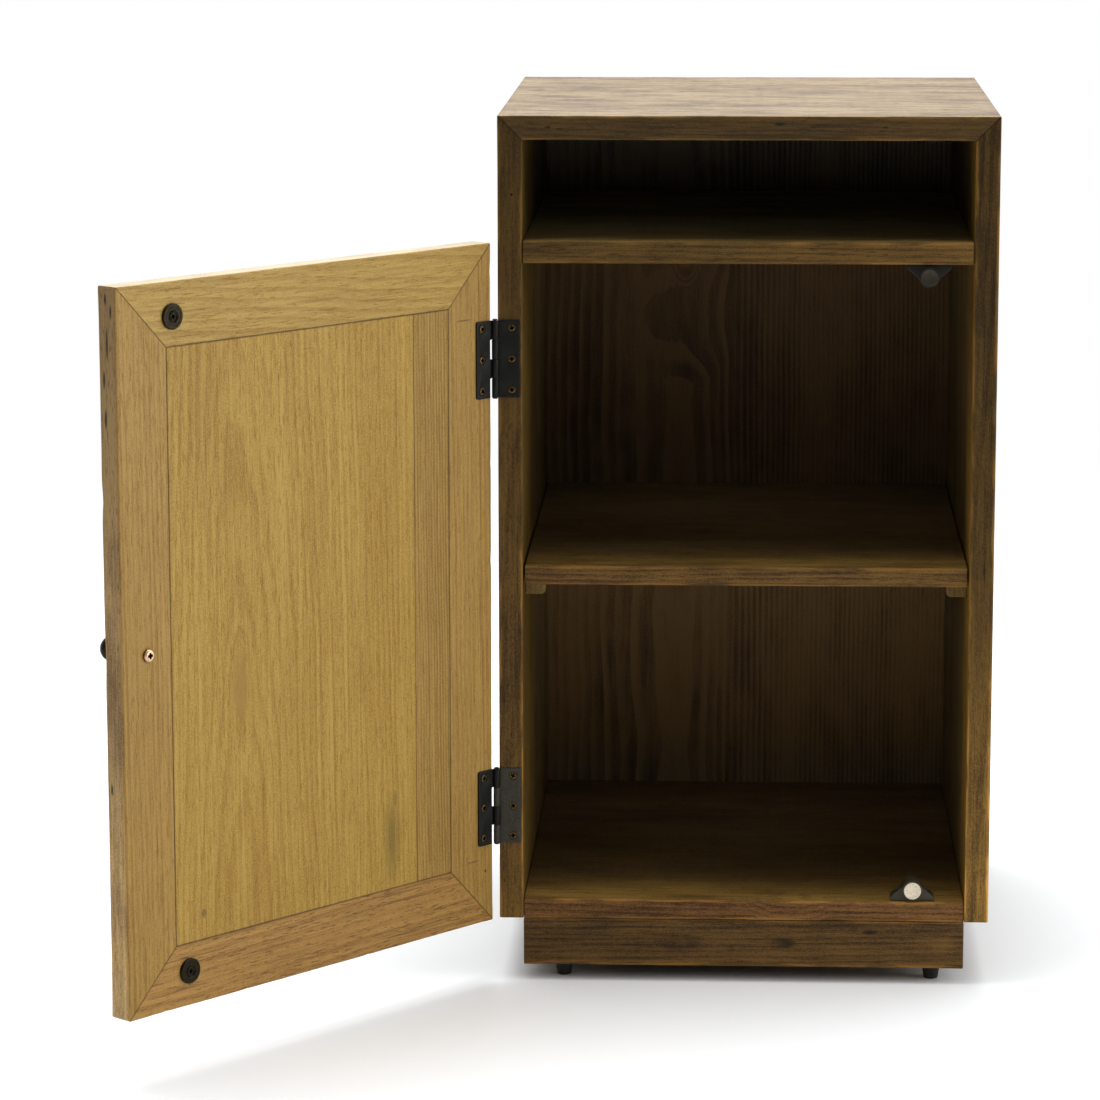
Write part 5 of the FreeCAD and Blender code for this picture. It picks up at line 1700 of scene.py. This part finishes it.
@dataclass
class LooseShelf:
    """The loose shelf inside the cabinet."""

    arris: float = 1.0 * MM

    def build(self) -> None:
        """Build the shelf."""
        low = Box.of("middle_shelf").low
        worn, back = (self.arris, 1.0), (0.4 * MM, 0.3)
        board = plain_board("worn_middle_shelf", "middle_shelf", FLAT_LAY, (worn, back, back, worn), 51, 4,
                            easing=0.6 * MM)
        cut = Cut(seed=51, pith_across=low.y, pith_below=0.03 - low.z, rise=-0.01, ring=4.5 * MM)
        stain = StainedTimber(dark=tone(66, 47, 21), light=tone(130, 97, 49))
        # Painted light and shade on the shelf's top: darker behind its front edge, then lighter and bluer
        # towards the back.
        inside_light = (
            PaintedLight(Y, low.y + 0.018, low.y + 0.09, (0.95, 0.86, 0.66), (0.45, 0.41, 0.5)),
            PaintedLight(Y, low.y + 0.13, low.y + 0.38, 1.0, (2.3, 2.7, 3.8)),
        )
        wood = CaseWood(FLAT_LAY, cut, stain, INSIDE, Y, low.y + 1.0 * MM, second_painted_light=inside_light)
        board.add("middle_shelf", wood, Body.SHELF)


# ---------------------------------------------------------------- door


@dataclass
class Door:
    """The mitred frame, its two-board panel and the knob."""

    pin: Pin
    frame_width: float = 50 * MM
    narrow_width: float = 40 * MM
    arris: float = 1.0 * MM
    corner_round: float = 2.2 * MM
    knob_radius: float = 10.0 * MM

    def __post_init__(self) -> None:
        """Measure the door, shut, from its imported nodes."""
        stile, free = Box.of("door_hinge_stile", self.pin), Box.of("door_free_stile", self.pin)
        self.left, self.right = stile.low.x, free.high.x
        self.bottom, self.top = stile.low.z, stile.high.z
        self.outer, self.inner = stile.low.y, stile.high.y
        self.upright = Lay(Z, X, Y, self.pin)
        self.level = Lay(X, Z, Y, self.pin)

    def build(self) -> None:
        """Build the frame, the panel and the knob."""
        self._stiles()
        self._rails()
        self._panel()
        self._knob()

    def _add(self, board: Board, cut: Cut, honey: HoneyTimber, node: str) -> None:
        """Finish one board of the door and put it in the scene."""
        wood = DoorWood(board.lay, cut, self.inner, honey, outer_face=self.outer, crest=self.top)
        board.add(node, wood, Body.DOOR, Slot.DOOR_WOOD)

    def _member(self, node: str, outside: float, side: int, upright: bool, seed: int) -> Board:
        """One mitred member of the frame.

        Args:
            node: the node that it stands for.
            outside: the place of its outer edge.
            side: 1 if the frame's inside lies beyond that edge, -1 if before it.
            upright: whether it is a stile.
            seed: the seed of its wear.

        Returns:
            The board.
        """
        outer, joint = (self.arris, 1.0), (JOINT_EASING, -1.0)
        eased = (outer, joint, joint, outer) if side > 0 else (joint, outer, outer, joint)
        low, high = sorted((outside, outside + side * self.frame_width))
        first, last = (self.bottom, self.top) if upright else (self.left, self.right)
        centre = ((self.left + self.right) / 2, (self.bottom + self.top) / 2)
        half = ((self.right - self.left) / 2, (self.top - self.bottom) / 2)
        wide, tall = (1, 0) if upright else (0, 1)
        return Board(
            f"{node}_board", self.upright if upright else self.level,
            rectangle((low, self.outer), (high, self.inner), *eased),
            EndCut(first - side * outside, across_slope=side),
            EndCut(last + side * outside, across_slope=-side),
            seed, 5 if upright else 4, round_corners(wide, tall, centre, half, self.corner_round),
        )

    def _stiles(self) -> None:
        """The hinge stile, scribed and pitted inside, and the free stile, nicked along its edge."""
        inside_marks = (
            *marks_of(tone(70, 48, 22), (0.5584, 0.034, 0.0008, 0.012), (0.1063, 0.026, 0.0008, 0.010),
                      strength=0.7, ragged=0.3),
            Mark(0.0961, 0.0113, 0.0016, 0.0016, tone(50, 34, 18), 0.9, 0.0, pit=True),
        )
        edge_marks = marks_of(
            tone(18, 14, 10), (0.609, -0.0142, 0.006, 0.0016), (0.575, -0.0130, 0.016, 0.0016),
            (0.5185, -0.0158, 0.010, 0.0016), (0.233, -0.0173, 0.006, 0.0016),
            (0.600, -0.0085, 0.007, 0.0016), (0.548, -0.0170, 0.009, 0.0016),
            strength=0.95, ragged=0.35, pit=True, on_edge=True,
        )
        honey = HoneyTimber(early=tone(182, 146, 74), late=tone(146, 108, 46), line_share=0.4,
                            pore_share=0.45)
        for node, outside, side, seed, marks in (
            ("door_hinge_stile", self.left, 1, 61, inside_marks),
            ("door_free_stile", self.right, -1, 62, edge_marks),
        ):
            board = self._member(node, outside, side, True, seed)
            cut = Cut(seed, pith_across=outside - side * 0.18, pith_below=0.02, rise=0.0, slant=0.012,
                      ring=5 * MM, marks=marks)
            self._add(board, cut, honey, node)

    def _rails(self) -> None:
        """The bottom rail and the top rail."""
        low_honey = HoneyTimber(early=tone(184, 141, 73), late=tone(142, 101, 45), pore=tone(88, 58, 26),
                                line_share=0.5, pore_share=0.6)
        high_honey = HoneyTimber(early=tone(192, 160, 83), late=tone(158, 122, 52), line_share=0.35)
        for node, outside, side, seed, honey, slant in (
            ("door_bottom_rail", self.bottom, 1, 63, low_honey, -0.01),
            ("door_top_rail", self.top, -1, 64, high_honey, 0.09),
        ):
            board = self._member(node, outside, side, False, seed)
            low = min(outside, outside + side * self.frame_width)
            cut = Cut(seed, pith_across=low - 0.07, pith_below=0.02, rise=0.02, slant=slant, ring=8 * MM,
                      wander=4 * MM)
            self._add(board, cut, honey, node)

    def _panel(self) -> None:
        """The narrow and the wide board, glued edge to edge in the frame."""
        joint, glued = (JOINT_EASING, -1.0), (JOINT_EASING, -0.45)
        left, right = self.left + self.frame_width, self.right - self.frame_width
        seam = left + self.narrow_width
        ends = (EndCut(self.bottom + self.frame_width), EndCut(self.top - self.frame_width))
        narrow = rectangle((left, self.outer), (seam, self.inner), joint, glued, glued, joint)
        wide = rectangle((seam, self.outer), (right, self.inner), glued, joint, joint, glued)
        marks = (
            Mark(0.296, 0.286, 0.037, 0.012, tone(158, 120, 52), 0.75, 0.2),
            Mark(0.143, 0.1205, 0.044, 0.0125, tone(126, 104, 40), 0.5, 0.25),
            Mark(0.147, 0.121, 0.026, 0.0050, tone(102, 84, 32), 0.4, 0.5),
            Mark(0.177, 0.1165, 0.009, 0.003, tone(112, 94, 38), 0.6, 0.3),
            Mark(0.1234, 0.3286, 0.0045, 0.0035, tone(84, 62, 30), 0.6, 0.7),
        )
        narrow_cut = Cut(65, pith_across=0.30, pith_below=0.02, rise=0.0, slant=0.01, ring=3.2 * MM,
                         wander=2 * MM)
        wide_cut = Cut(66, pith_across=0.285, pith_below=0.036, rise=0.06, ring=5.6 * MM, wander=4.5 * MM,
                       eyes=(Eye(0.300, 0.286, 0.070, 0.020, -0.006),), marks=marks)
        dense = HoneyTimber(early=tone(180, 146, 72), late=tone(136, 102, 42), line_share=0.55,
                            ring_share=0.7)
        plain = HoneyTimber(early=tone(189, 155, 72), ring_share=0.4, speck_share=2.2, fibre_share=1.1,
                            streak_share=0.3)
        for name, section, cut, honey in (
            ("narrow", narrow, narrow_cut, dense), ("wide", wide, wide_cut, plain),
        ):
            board = Board(f"door_{name}_board", self.upright, section, *ends, seed=cut.seed)
            self._add(board, cut, honey, f"door_panel_{name}_board")

    def _knob(self) -> None:
        """The mushroom knob on the outer face and its screw on the inner one."""
        r = self.knob_radius
        profile = in_mm((0, 0), (7.8, 0), (8.0, 0.3), (8.0, 1.8), (7.6, 2.4), (6.2, 3.4), (5.3, 5.0),
                        (5.0, 8.0), (5.1, 12.0), (5.8, 15.4), (7.4, 18.2))
        profile += [(r - 0.9 * MM, 19.8 * MM), (r - 0.2 * MM, 20.8 * MM), (r, 21.6 * MM)]
        height, across = (self.bottom + self.top) / 2, self.right - 26 * MM
        place = self.pin.matrix() @ Matrix.Translation((across, self.outer, height)) @ STANDING
        profile += self.crown(r, 22.0 * MM, 29.5 * MM)
        add_turned("turned_knob", "door_knob", profile, place, Body.DOOR, Finish.DARK_BRONZE, 64)
        seat = (self.pin.spot(across, self.inner, height), self.pin.facing())
        screw = Screws(PAN_HEAD, 0.42, 0.5)
        screw.add("knob_fixing", "knob_screw", [seat], 5.2 * MM, 3, Finish.YELLOW_ZINC, Body.DOOR)

    @staticmethod
    def crown(radius: float, low: float, high: float, steps: int = 8) -> list[Flat]:
        """A domed top from a rim to its middle.

        Args:
            radius: the rim's radius.
            low: the rim's height.
            high: the height of the middle.
            steps: how many rings the dome has.

        Returns:
            The (radius, height) of each ring above the rim, and of the middle.
        """
        rise = high - low
        ball = (radius * radius + rise * rise) / (2 * rise)
        sweep = math.asin(radius / ball)
        rings = []
        for step in range(1, steps):
            angle = sweep * (1 - step / steps)
            rings.append((ball * math.sin(angle), high - ball * (1 - math.cos(angle))))
        return [*rings, (0, high)]


# ---------------------------------------------------------------- ironmongery


@dataclass
class Hinges:
    """Two butt hinges with rolled knuckles."""

    pin: Pin
    reach: float = 20 * MM
    thickness: float = 1.5 * MM
    barrel: float = 2.7 * MM
    bore: float = 1.2 * MM
    knuckles: int = 4
    gap: float = 0.35 * MM
    slot_reach: Flat = (3.1 * MM, 4.4 * MM)
    screw_offset: float = 13.5 * MM
    screw_spacing: float = 25.4 * MM
    head_radius: float = 3.0 * MM
    seat_radius: float = 3.5 * MM

    def build(self) -> None:
        """Build both hinges and their screws."""
        seats: dict[Body, list[tuple[Point, Point]]] = {Body.CASE: [], Body.DOOR: []}
        hung = Matrix.Translation((self.pin.x, self.pin.y, 0))
        black = Finish.BLACK_IRON
        # The lower hinge's case leaf takes a lighter copy of the black iron: painted light.
        for name, rubbed in (("upper", black), ("lower", Finish.GREY_IRON)):
            box = Box.of(f"{name}_hinge_case_leaf")
            lift, height = Matrix.Translation((0, 0, box.middle.z)), box.high.z - box.low.z
            for leaf, side, own, place, body, iron in (
                ("case", 1, (1, 3), hung, Body.CASE, rubbed),
                ("door", -1, (0, 2), self.pin.matrix(), Body.DOOR, black),
            ):
                shape = self._leaf(side, own, height)
                shape.transform(place @ lift)
                node = f"{name}_hinge_{leaf}_leaf"
                iron.add(f"rolled_{node}", to_mesh(shape, 30), body, node)
            node = f"{name}_hinge_pin"
            add_turned(f"headed_{node}", node, self._pin_profile(height), hung @ lift, Body.CASE, black, 32)
            for row in (-1, 0, 1):
                up = box.middle.z + row * self.screw_spacing
                seat = (self.pin.x + self.screw_offset, self.pin.y + self.bore, up)
                seats[Body.CASE].append((seat, (0, -1, 0)))
                seats[Body.DOOR].append((self.pin.spot(self.screw_offset, -self.bore, up), self.pin.facing()))
        screws = Screws(FLAT_HEAD, 0.45)
        for body, seed in ((Body.CASE, 5), (Body.DOOR, 8)):
            node = f"{body.value}_hinge_screws"
            screws.add(f"set_{node}", node, seats[body], self.head_radius, seed, Finish.ANTIQUE_BRASS, body)

    def _leaf(self, side: int, own: tuple[int, ...], height: float) -> bmesh.types.BMesh:
        """One leaf about the pin: its plate, slotted for the other leaf, and its own knuckles.

        Args:
            side: 1 if the plate lies behind the pin, -1 if in front.
            own: its knuckles, counted from the top.
            height: the height of the hinge.

        Returns:
            The leaf, with its middle at z = 0.
        """
        half, pitch = height / 2, height / self.knuckles
        soft = 0.5 * MM
        outer_round = 1.6 * MM if side < 0 else 0.8 * MM
        corners = [(self.reach, -half, outer_round), (self.reach, half, outer_round)]
        for number in range(self.knuckles):
            high, low = half - pitch * number, half - pitch * (number + 1)
            if number in own:
                corners += [(0.0, high - self.gap / 2, soft), (0.0, low + self.gap / 2, soft)]
            else:
                high = high + (0 if number == 0 else self.gap / 2)
                low = low - (0 if number == self.knuckles - 1 else self.gap / 2)
                reach = self.slot_reach[0 if side > 0 else 1]
                corners += [(reach, high, soft * 1.6), (reach, low, soft * 1.6)]
        holes = [circle(self.screw_offset, row * self.screw_spacing, self.seat_radius) for row in (-1, 0, 1)]
        middle = side * (self.barrel - self.thickness / 2)
        flat = plate(rounded(corners), holes, self.thickness, 0.18 * MM)
        parts = [(flat, Matrix.Translation((0, middle, 0)) @ STANDING)]
        roll = self._roll(side)
        for number in own:
            high, low = half - pitch * number - self.gap / 2, half - pitch * (number + 1) + self.gap / 2
            parts.append((prism(roll, low, high, 0.2 * MM), Matrix.Identity(4)))
        return joined(parts)

    def _roll(self, side: int) -> list[Flat]:
        """The section of a knuckle, from the plate round the pin to its lip."""
        lip = math.radians(380)
        turns = np.linspace(math.radians(90), lip, 30)
        outer = [(self.barrel * math.cos(a), side * self.barrel * math.sin(a)) for a in turns]
        inner = [(self.bore * math.cos(a), side * self.bore * math.sin(a)) for a in turns[::-1]]
        root = 0.8 * MM
        return [(root, side * self.bore), (root, side * self.barrel), *outer, *inner]

    def _pin_profile(self, height: float) -> list[Flat]:
        """The pin's profile, with a button head at each end."""
        half, head, rise, shank, ease, lift = height / 2, 2.1 * MM, 0.8 * MM, 1.15 * MM, 0.4 * MM, 0.3 * MM
        button = [(0, rise), (head - ease, rise), (head, rise - 0.35 * MM), (head, 0), (shank, 0)]
        foot = [(radius, -half - out) for radius, out in button]
        return foot + [(radius, half + lift + out) for radius, out in reversed(button)]


@dataclass
class Catches:
    """The two magnetic catches in the case and the strike discs on the door."""

    pin: Pin
    magnet_radius: float = 7.1 * MM
    strike_radius: float = 10.0 * MM

    def build(self) -> None:
        """Build the catches, the strikes and their screws."""
        # The upper catch takes darker copies and the lower one lighter copies of the magnet and moulding:
        # painted shade, light and reflection.
        self._magnet("upper", Finish.DULL_MAGNET)
        self._housing("upper", Finish.MOULDED_BLACK)
        self._magnet("lower", Finish.BRIGHT_MAGNET)
        self._housing("lower", Finish.MOULDED_GREY)
        self._strikes()

    def _magnet(self, name: str, finish: Finish) -> None:
        """One magnet: a disc with a bevelled rim and a slightly dished face."""
        node = f"{name}_catch_magnet"
        box = Box.of(node)
        r, long = self.magnet_radius, box.high.y - box.low.y
        dish, rim = long - 0.12 * MM, long - 0.15 * MM
        profile = [
            (0, dish), (r - 1.3 * MM, dish), (r - 1.0 * MM, long), (r - 0.45 * MM, long),
            (r - 0.12 * MM, rim), (r, long - 0.5 * MM), (r, 0), (0, 0),
        ]
        place = Matrix.Translation((box.middle.x, box.high.y, box.middle.z)) @ STANDING
        add_turned(f"bevelled_{node}", node, profile, place, Body.CASE, finish, 56, 25)

    def _housing(self, name: str, finish: Finish) -> None:
        """One moulded housing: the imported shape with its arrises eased."""
        node = f"{name}_catch_housing"
        shape = bmesh.new()
        shape.from_mesh(frame["nodes"][node].data)
        bmesh.ops.remove_doubles(shape, verts=shape.verts, dist=0.002 * MM)
        flat = math.radians(2)
        bmesh.ops.dissolve_limit(shape, angle_limit=flat, verts=shape.verts, edges=shape.edges)
        finish.add(f"moulded_{node}", to_mesh(ease_arrises(shape, 0.3 * MM), 30), Body.CASE, node)

    def _strikes(self) -> None:
        """The two steel discs on the door, ringed and dished, each with its screw."""
        r = self.strike_radius
        rim = [(3.0 * MM, 0), (r, 0), (r, 1.55 * MM), (r - 0.2 * MM, 1.95 * MM), (r - 0.65 * MM, 2.2 * MM)]
        profile = rim + in_mm((7.7, 2.2), (7.4, 1.95), (7.0, 1.95), (6.7, 2.15), (5.2, 2.15), (4.7, 1.9),
                              (3.7, 1.0), (3.0, 0.9))
        into_room = Matrix.Rotation(math.radians(-90), 4, "X")
        seats = []
        for name in ("upper", "lower"):
            node = f"{name}_strike_disc"
            box = Box.of(node, self.pin)
            x, z, back = box.middle.x, box.middle.z, box.low.y
            place = self.pin.matrix() @ Matrix.Translation((x, back, z)) @ into_room
            add_turned(f"ringed_{node}", node, profile, place, Body.DOOR, Finish.AGED_BRASS, 64, 25)
            seats.append((self.pin.spot(x, back + 1.75 * MM, z), self.pin.facing()))
        screws = Screws(FLAT_HEAD, 0.5)
        screws.add("strike_fixings", "strike_screws", seats, 3.0 * MM, 4, Finish.AGED_BRASS, Body.DOOR)


@dataclass
class Underside:
    """The glides under the plinth and the hidden joinery."""

    tip_radius: float = 6.0 * MM
    top_radius: float = 8.0 * MM

    def build(self) -> None:
        """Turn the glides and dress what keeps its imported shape."""
        for end in ("front", "back"):
            for side in ("left", "right"):
                self._glide(f"foot_{end}_{side}")
        raw = raw_wood()
        for node in ("case_mitre_tongues", "divider_shelf_dowels", "bottom_board_dowels",
                     "plinth_corner_blocks", "door_mitre_tongues"):
            dress_node(node, raw)
        for node in ("back_panel_screws", "cleat_screws", "catch_screws", "foot_screws"):
            dress_node(node, Finish.PLAIN_ZINC.material())

    def _glide(self, node: str) -> None:
        """One tapered glide, open at the bottom for its screw."""
        box = Box.of(node)
        high, tip, top = box.high.z, self.tip_radius, self.top_radius
        bore = [(1.5 * MM, high), *in_mm((1.5, 4.9), (3.3, 3.0), (3.3, 0.3), (3.7, 0))]
        skirt = [
            (tip - 1.0 * MM, 0), (tip - 0.3 * MM, 0.3 * MM), (tip, 1.0 * MM),
            (top - 0.1 * MM, high - 0.6 * MM), (top - 0.4 * MM, high),
        ]
        place = Matrix.Translation((box.middle.x, box.middle.y, 0))
        add_turned(f"turned_{node}", node, bore + skirt, place, Body.CASE, Finish.BLACK_RUBBER)


# ---------------------------------------------------------------- studio


@dataclass(frozen=True)
class Softbox:
    """A large soft lamp that looks at the table."""

    name: str
    place: Point
    width: float
    height: float
    power: float
    aim: Point = (0.0, 0.0, 0.4)

    def hang(self) -> None:
        """Put the lamp in the scene, facing its aim."""
        lamp = bpy.data.lights.new(self.name, "AREA")
        lamp.shape = "RECTANGLE"
        lamp.size, lamp.size_y, lamp.energy = self.width, self.height, self.power
        holder = bpy.data.objects.new(self.name, lamp)
        holder.location = self.place
        holder.rotation_euler = (Vector(self.aim) - Vector(self.place)).to_track_quat("-Z", "Y").to_euler()
        holder.visible_camera = False
        bpy.context.scene.collection.objects.link(holder)


@dataclass
class Studio:
    """A plain pale floor, a white backdrop, soft lamps and the camera."""

    focal: float = 4335.0
    eye: Point = (0.90 * MM, -3714.5 * MM, 1004.9 * MM)
    yaw: float = math.radians(-2.643)
    pitch: float = math.radians(10.344)
    roll: float = math.radians(-0.082)
    front_ambient: float = 0.72
    back_ambient: float = 0.66
    front_mirror: float = 0.25
    floor_gain: Point = (1.25, 1.275, 1.30)
    floor_half: float = 30.0
    lamps: tuple[Softbox, ...] = (
        Softbox("overhead", (-0.25, 0.33, 2.6), 2.2, 1.8, 63.0),
        Softbox("right", (2.6, -0.7, 1.0), 1.6, 1.8, 32.0),
    )

    def build(self) -> None:
        """Build the floor, the light and the camera."""
        view = bpy.context.scene.view_settings
        view.view_transform = "Standard"
        self._floor()
        self._world()
        for lamp in self.lamps:
            lamp.hang()
        self._camera()

    def _camera(self) -> None:
        """A long lens at the height of a standing eye."""
        ahead = Vector((math.sin(self.yaw) * math.cos(self.pitch), math.cos(self.yaw) * math.cos(self.pitch),
                        -math.sin(self.pitch)))
        level = Vector((math.cos(self.yaw), -math.sin(self.yaw), 0))
        up = level.cross(ahead)
        right = level * math.cos(self.roll) + up * math.sin(self.roll)
        up = right.cross(ahead)
        turn = Matrix((right, up, -ahead)).transposed().to_4x4()
        data = bpy.data.cameras.new("camera")
        data.sensor_fit = "HORIZONTAL"
        data.sensor_width = SENSOR
        data.lens = self.focal / PHOTO_SIZE * SENSOR
        data.clip_end = 100.0
        camera = bpy.data.objects.new("camera", data)
        camera.matrix_world = Matrix.Translation(self.eye) @ turn
        bpy.context.scene.collection.objects.link(camera)
        bpy.context.scene.camera = camera

    def _floor(self) -> None:
        """A pale floor that keeps the table's shadow and goes to white far away."""
        half = self.floor_half
        corners = [(-half, -half, 0), (half, -half, 0), (half, half, 0), (-half, half, 0)]
        mesh = bpy.data.meshes.new("floor")
        mesh.from_pydata(corners, [], [(0, 1, 2, 3)])
        floor = bpy.data.objects.new("floor", mesh)
        bpy.context.scene.collection.objects.link(floor)
        painter = Painter.of("floor")
        place = painter.object_place()
        grain = painter.noise(place, 60.0, 2.0)
        pale = painter.mix(grain, tone(238, 238, 238), tone(240, 240, 240))
        matt = painter.node("ShaderNodeBsdfDiffuse", {}, {"Color": pale})
        bright = painter.node("ShaderNodeBsdfDiffuse", {}, {"Color": pale * self.floor_gain})
        white = painter.node("ShaderNodeEmission", {}, {"Color": (1, 1, 1, 1), "Strength": 1.0})
        across, back, _ = painter.apart(place)
        away = (across * across + back * back).math("SQRT").between(1.2, 3.0)
        shown = painter.node("ShaderNodeMixShader", {}, {0: away, 1: bright, 2: white})
        seen = painter.node("ShaderNodeLightPath", output="Is Camera Ray")
        shader = painter.node("ShaderNodeMixShader", {}, {0: seen, 1: matt, 2: shown})
        painter.node("ShaderNodeOutputMaterial", {}, {"Surface": shader})
        mesh.materials.append(painter.material)

    def _world(self) -> None:
        """White where the camera looks; elsewhere soft light from behind and from high in front."""
        world = bpy.data.worlds.new("studio")
        bpy.context.scene.world = world
        world.use_nodes = True
        painter = Painter(world.node_tree)
        direction = painter.node("ShaderNodeNewGeometry", output="Position")
        _, back, up = painter.apart(direction)
        behind = back.between(-0.25, 0.35)
        high_front = up.between(0.25, 0.55) * self.front_ambient
        camera, glossy, through = (
            painter.node("ShaderNodeLightPath", output=f"Is {ray} Ray")
            for ray in ("Camera", "Glossy", "Transmission")
        )
        direct = camera.greatest(through)
        mirrored = glossy * (self.front_mirror + behind * (1 - self.front_mirror))
        plain = high_front + behind * (self.back_ambient - high_front)
        soft = (1.0 - direct.greatest(glossy)) * plain
        strength = direct.greatest(mirrored) + soft
        light = painter.node("ShaderNodeBackground", {}, {"Color": (1, 1, 1, 1), "Strength": strength})
        painter.node("ShaderNodeOutputWorld", {}, {"Surface": light})


def main() -> None:
    """Build the table piece by piece, then the studio."""
    logging.basicConfig(level=logging.INFO, format="%(message)s")
    pin = Pin.of_door()
    for part in (Case(), LooseShelf(), Door(pin), Hinges(pin), Catches(pin), Underside(), Studio()):
        LOG.info("building %s", type(part).__name__)
        part.build()


if __name__ == "__main__":
    main()
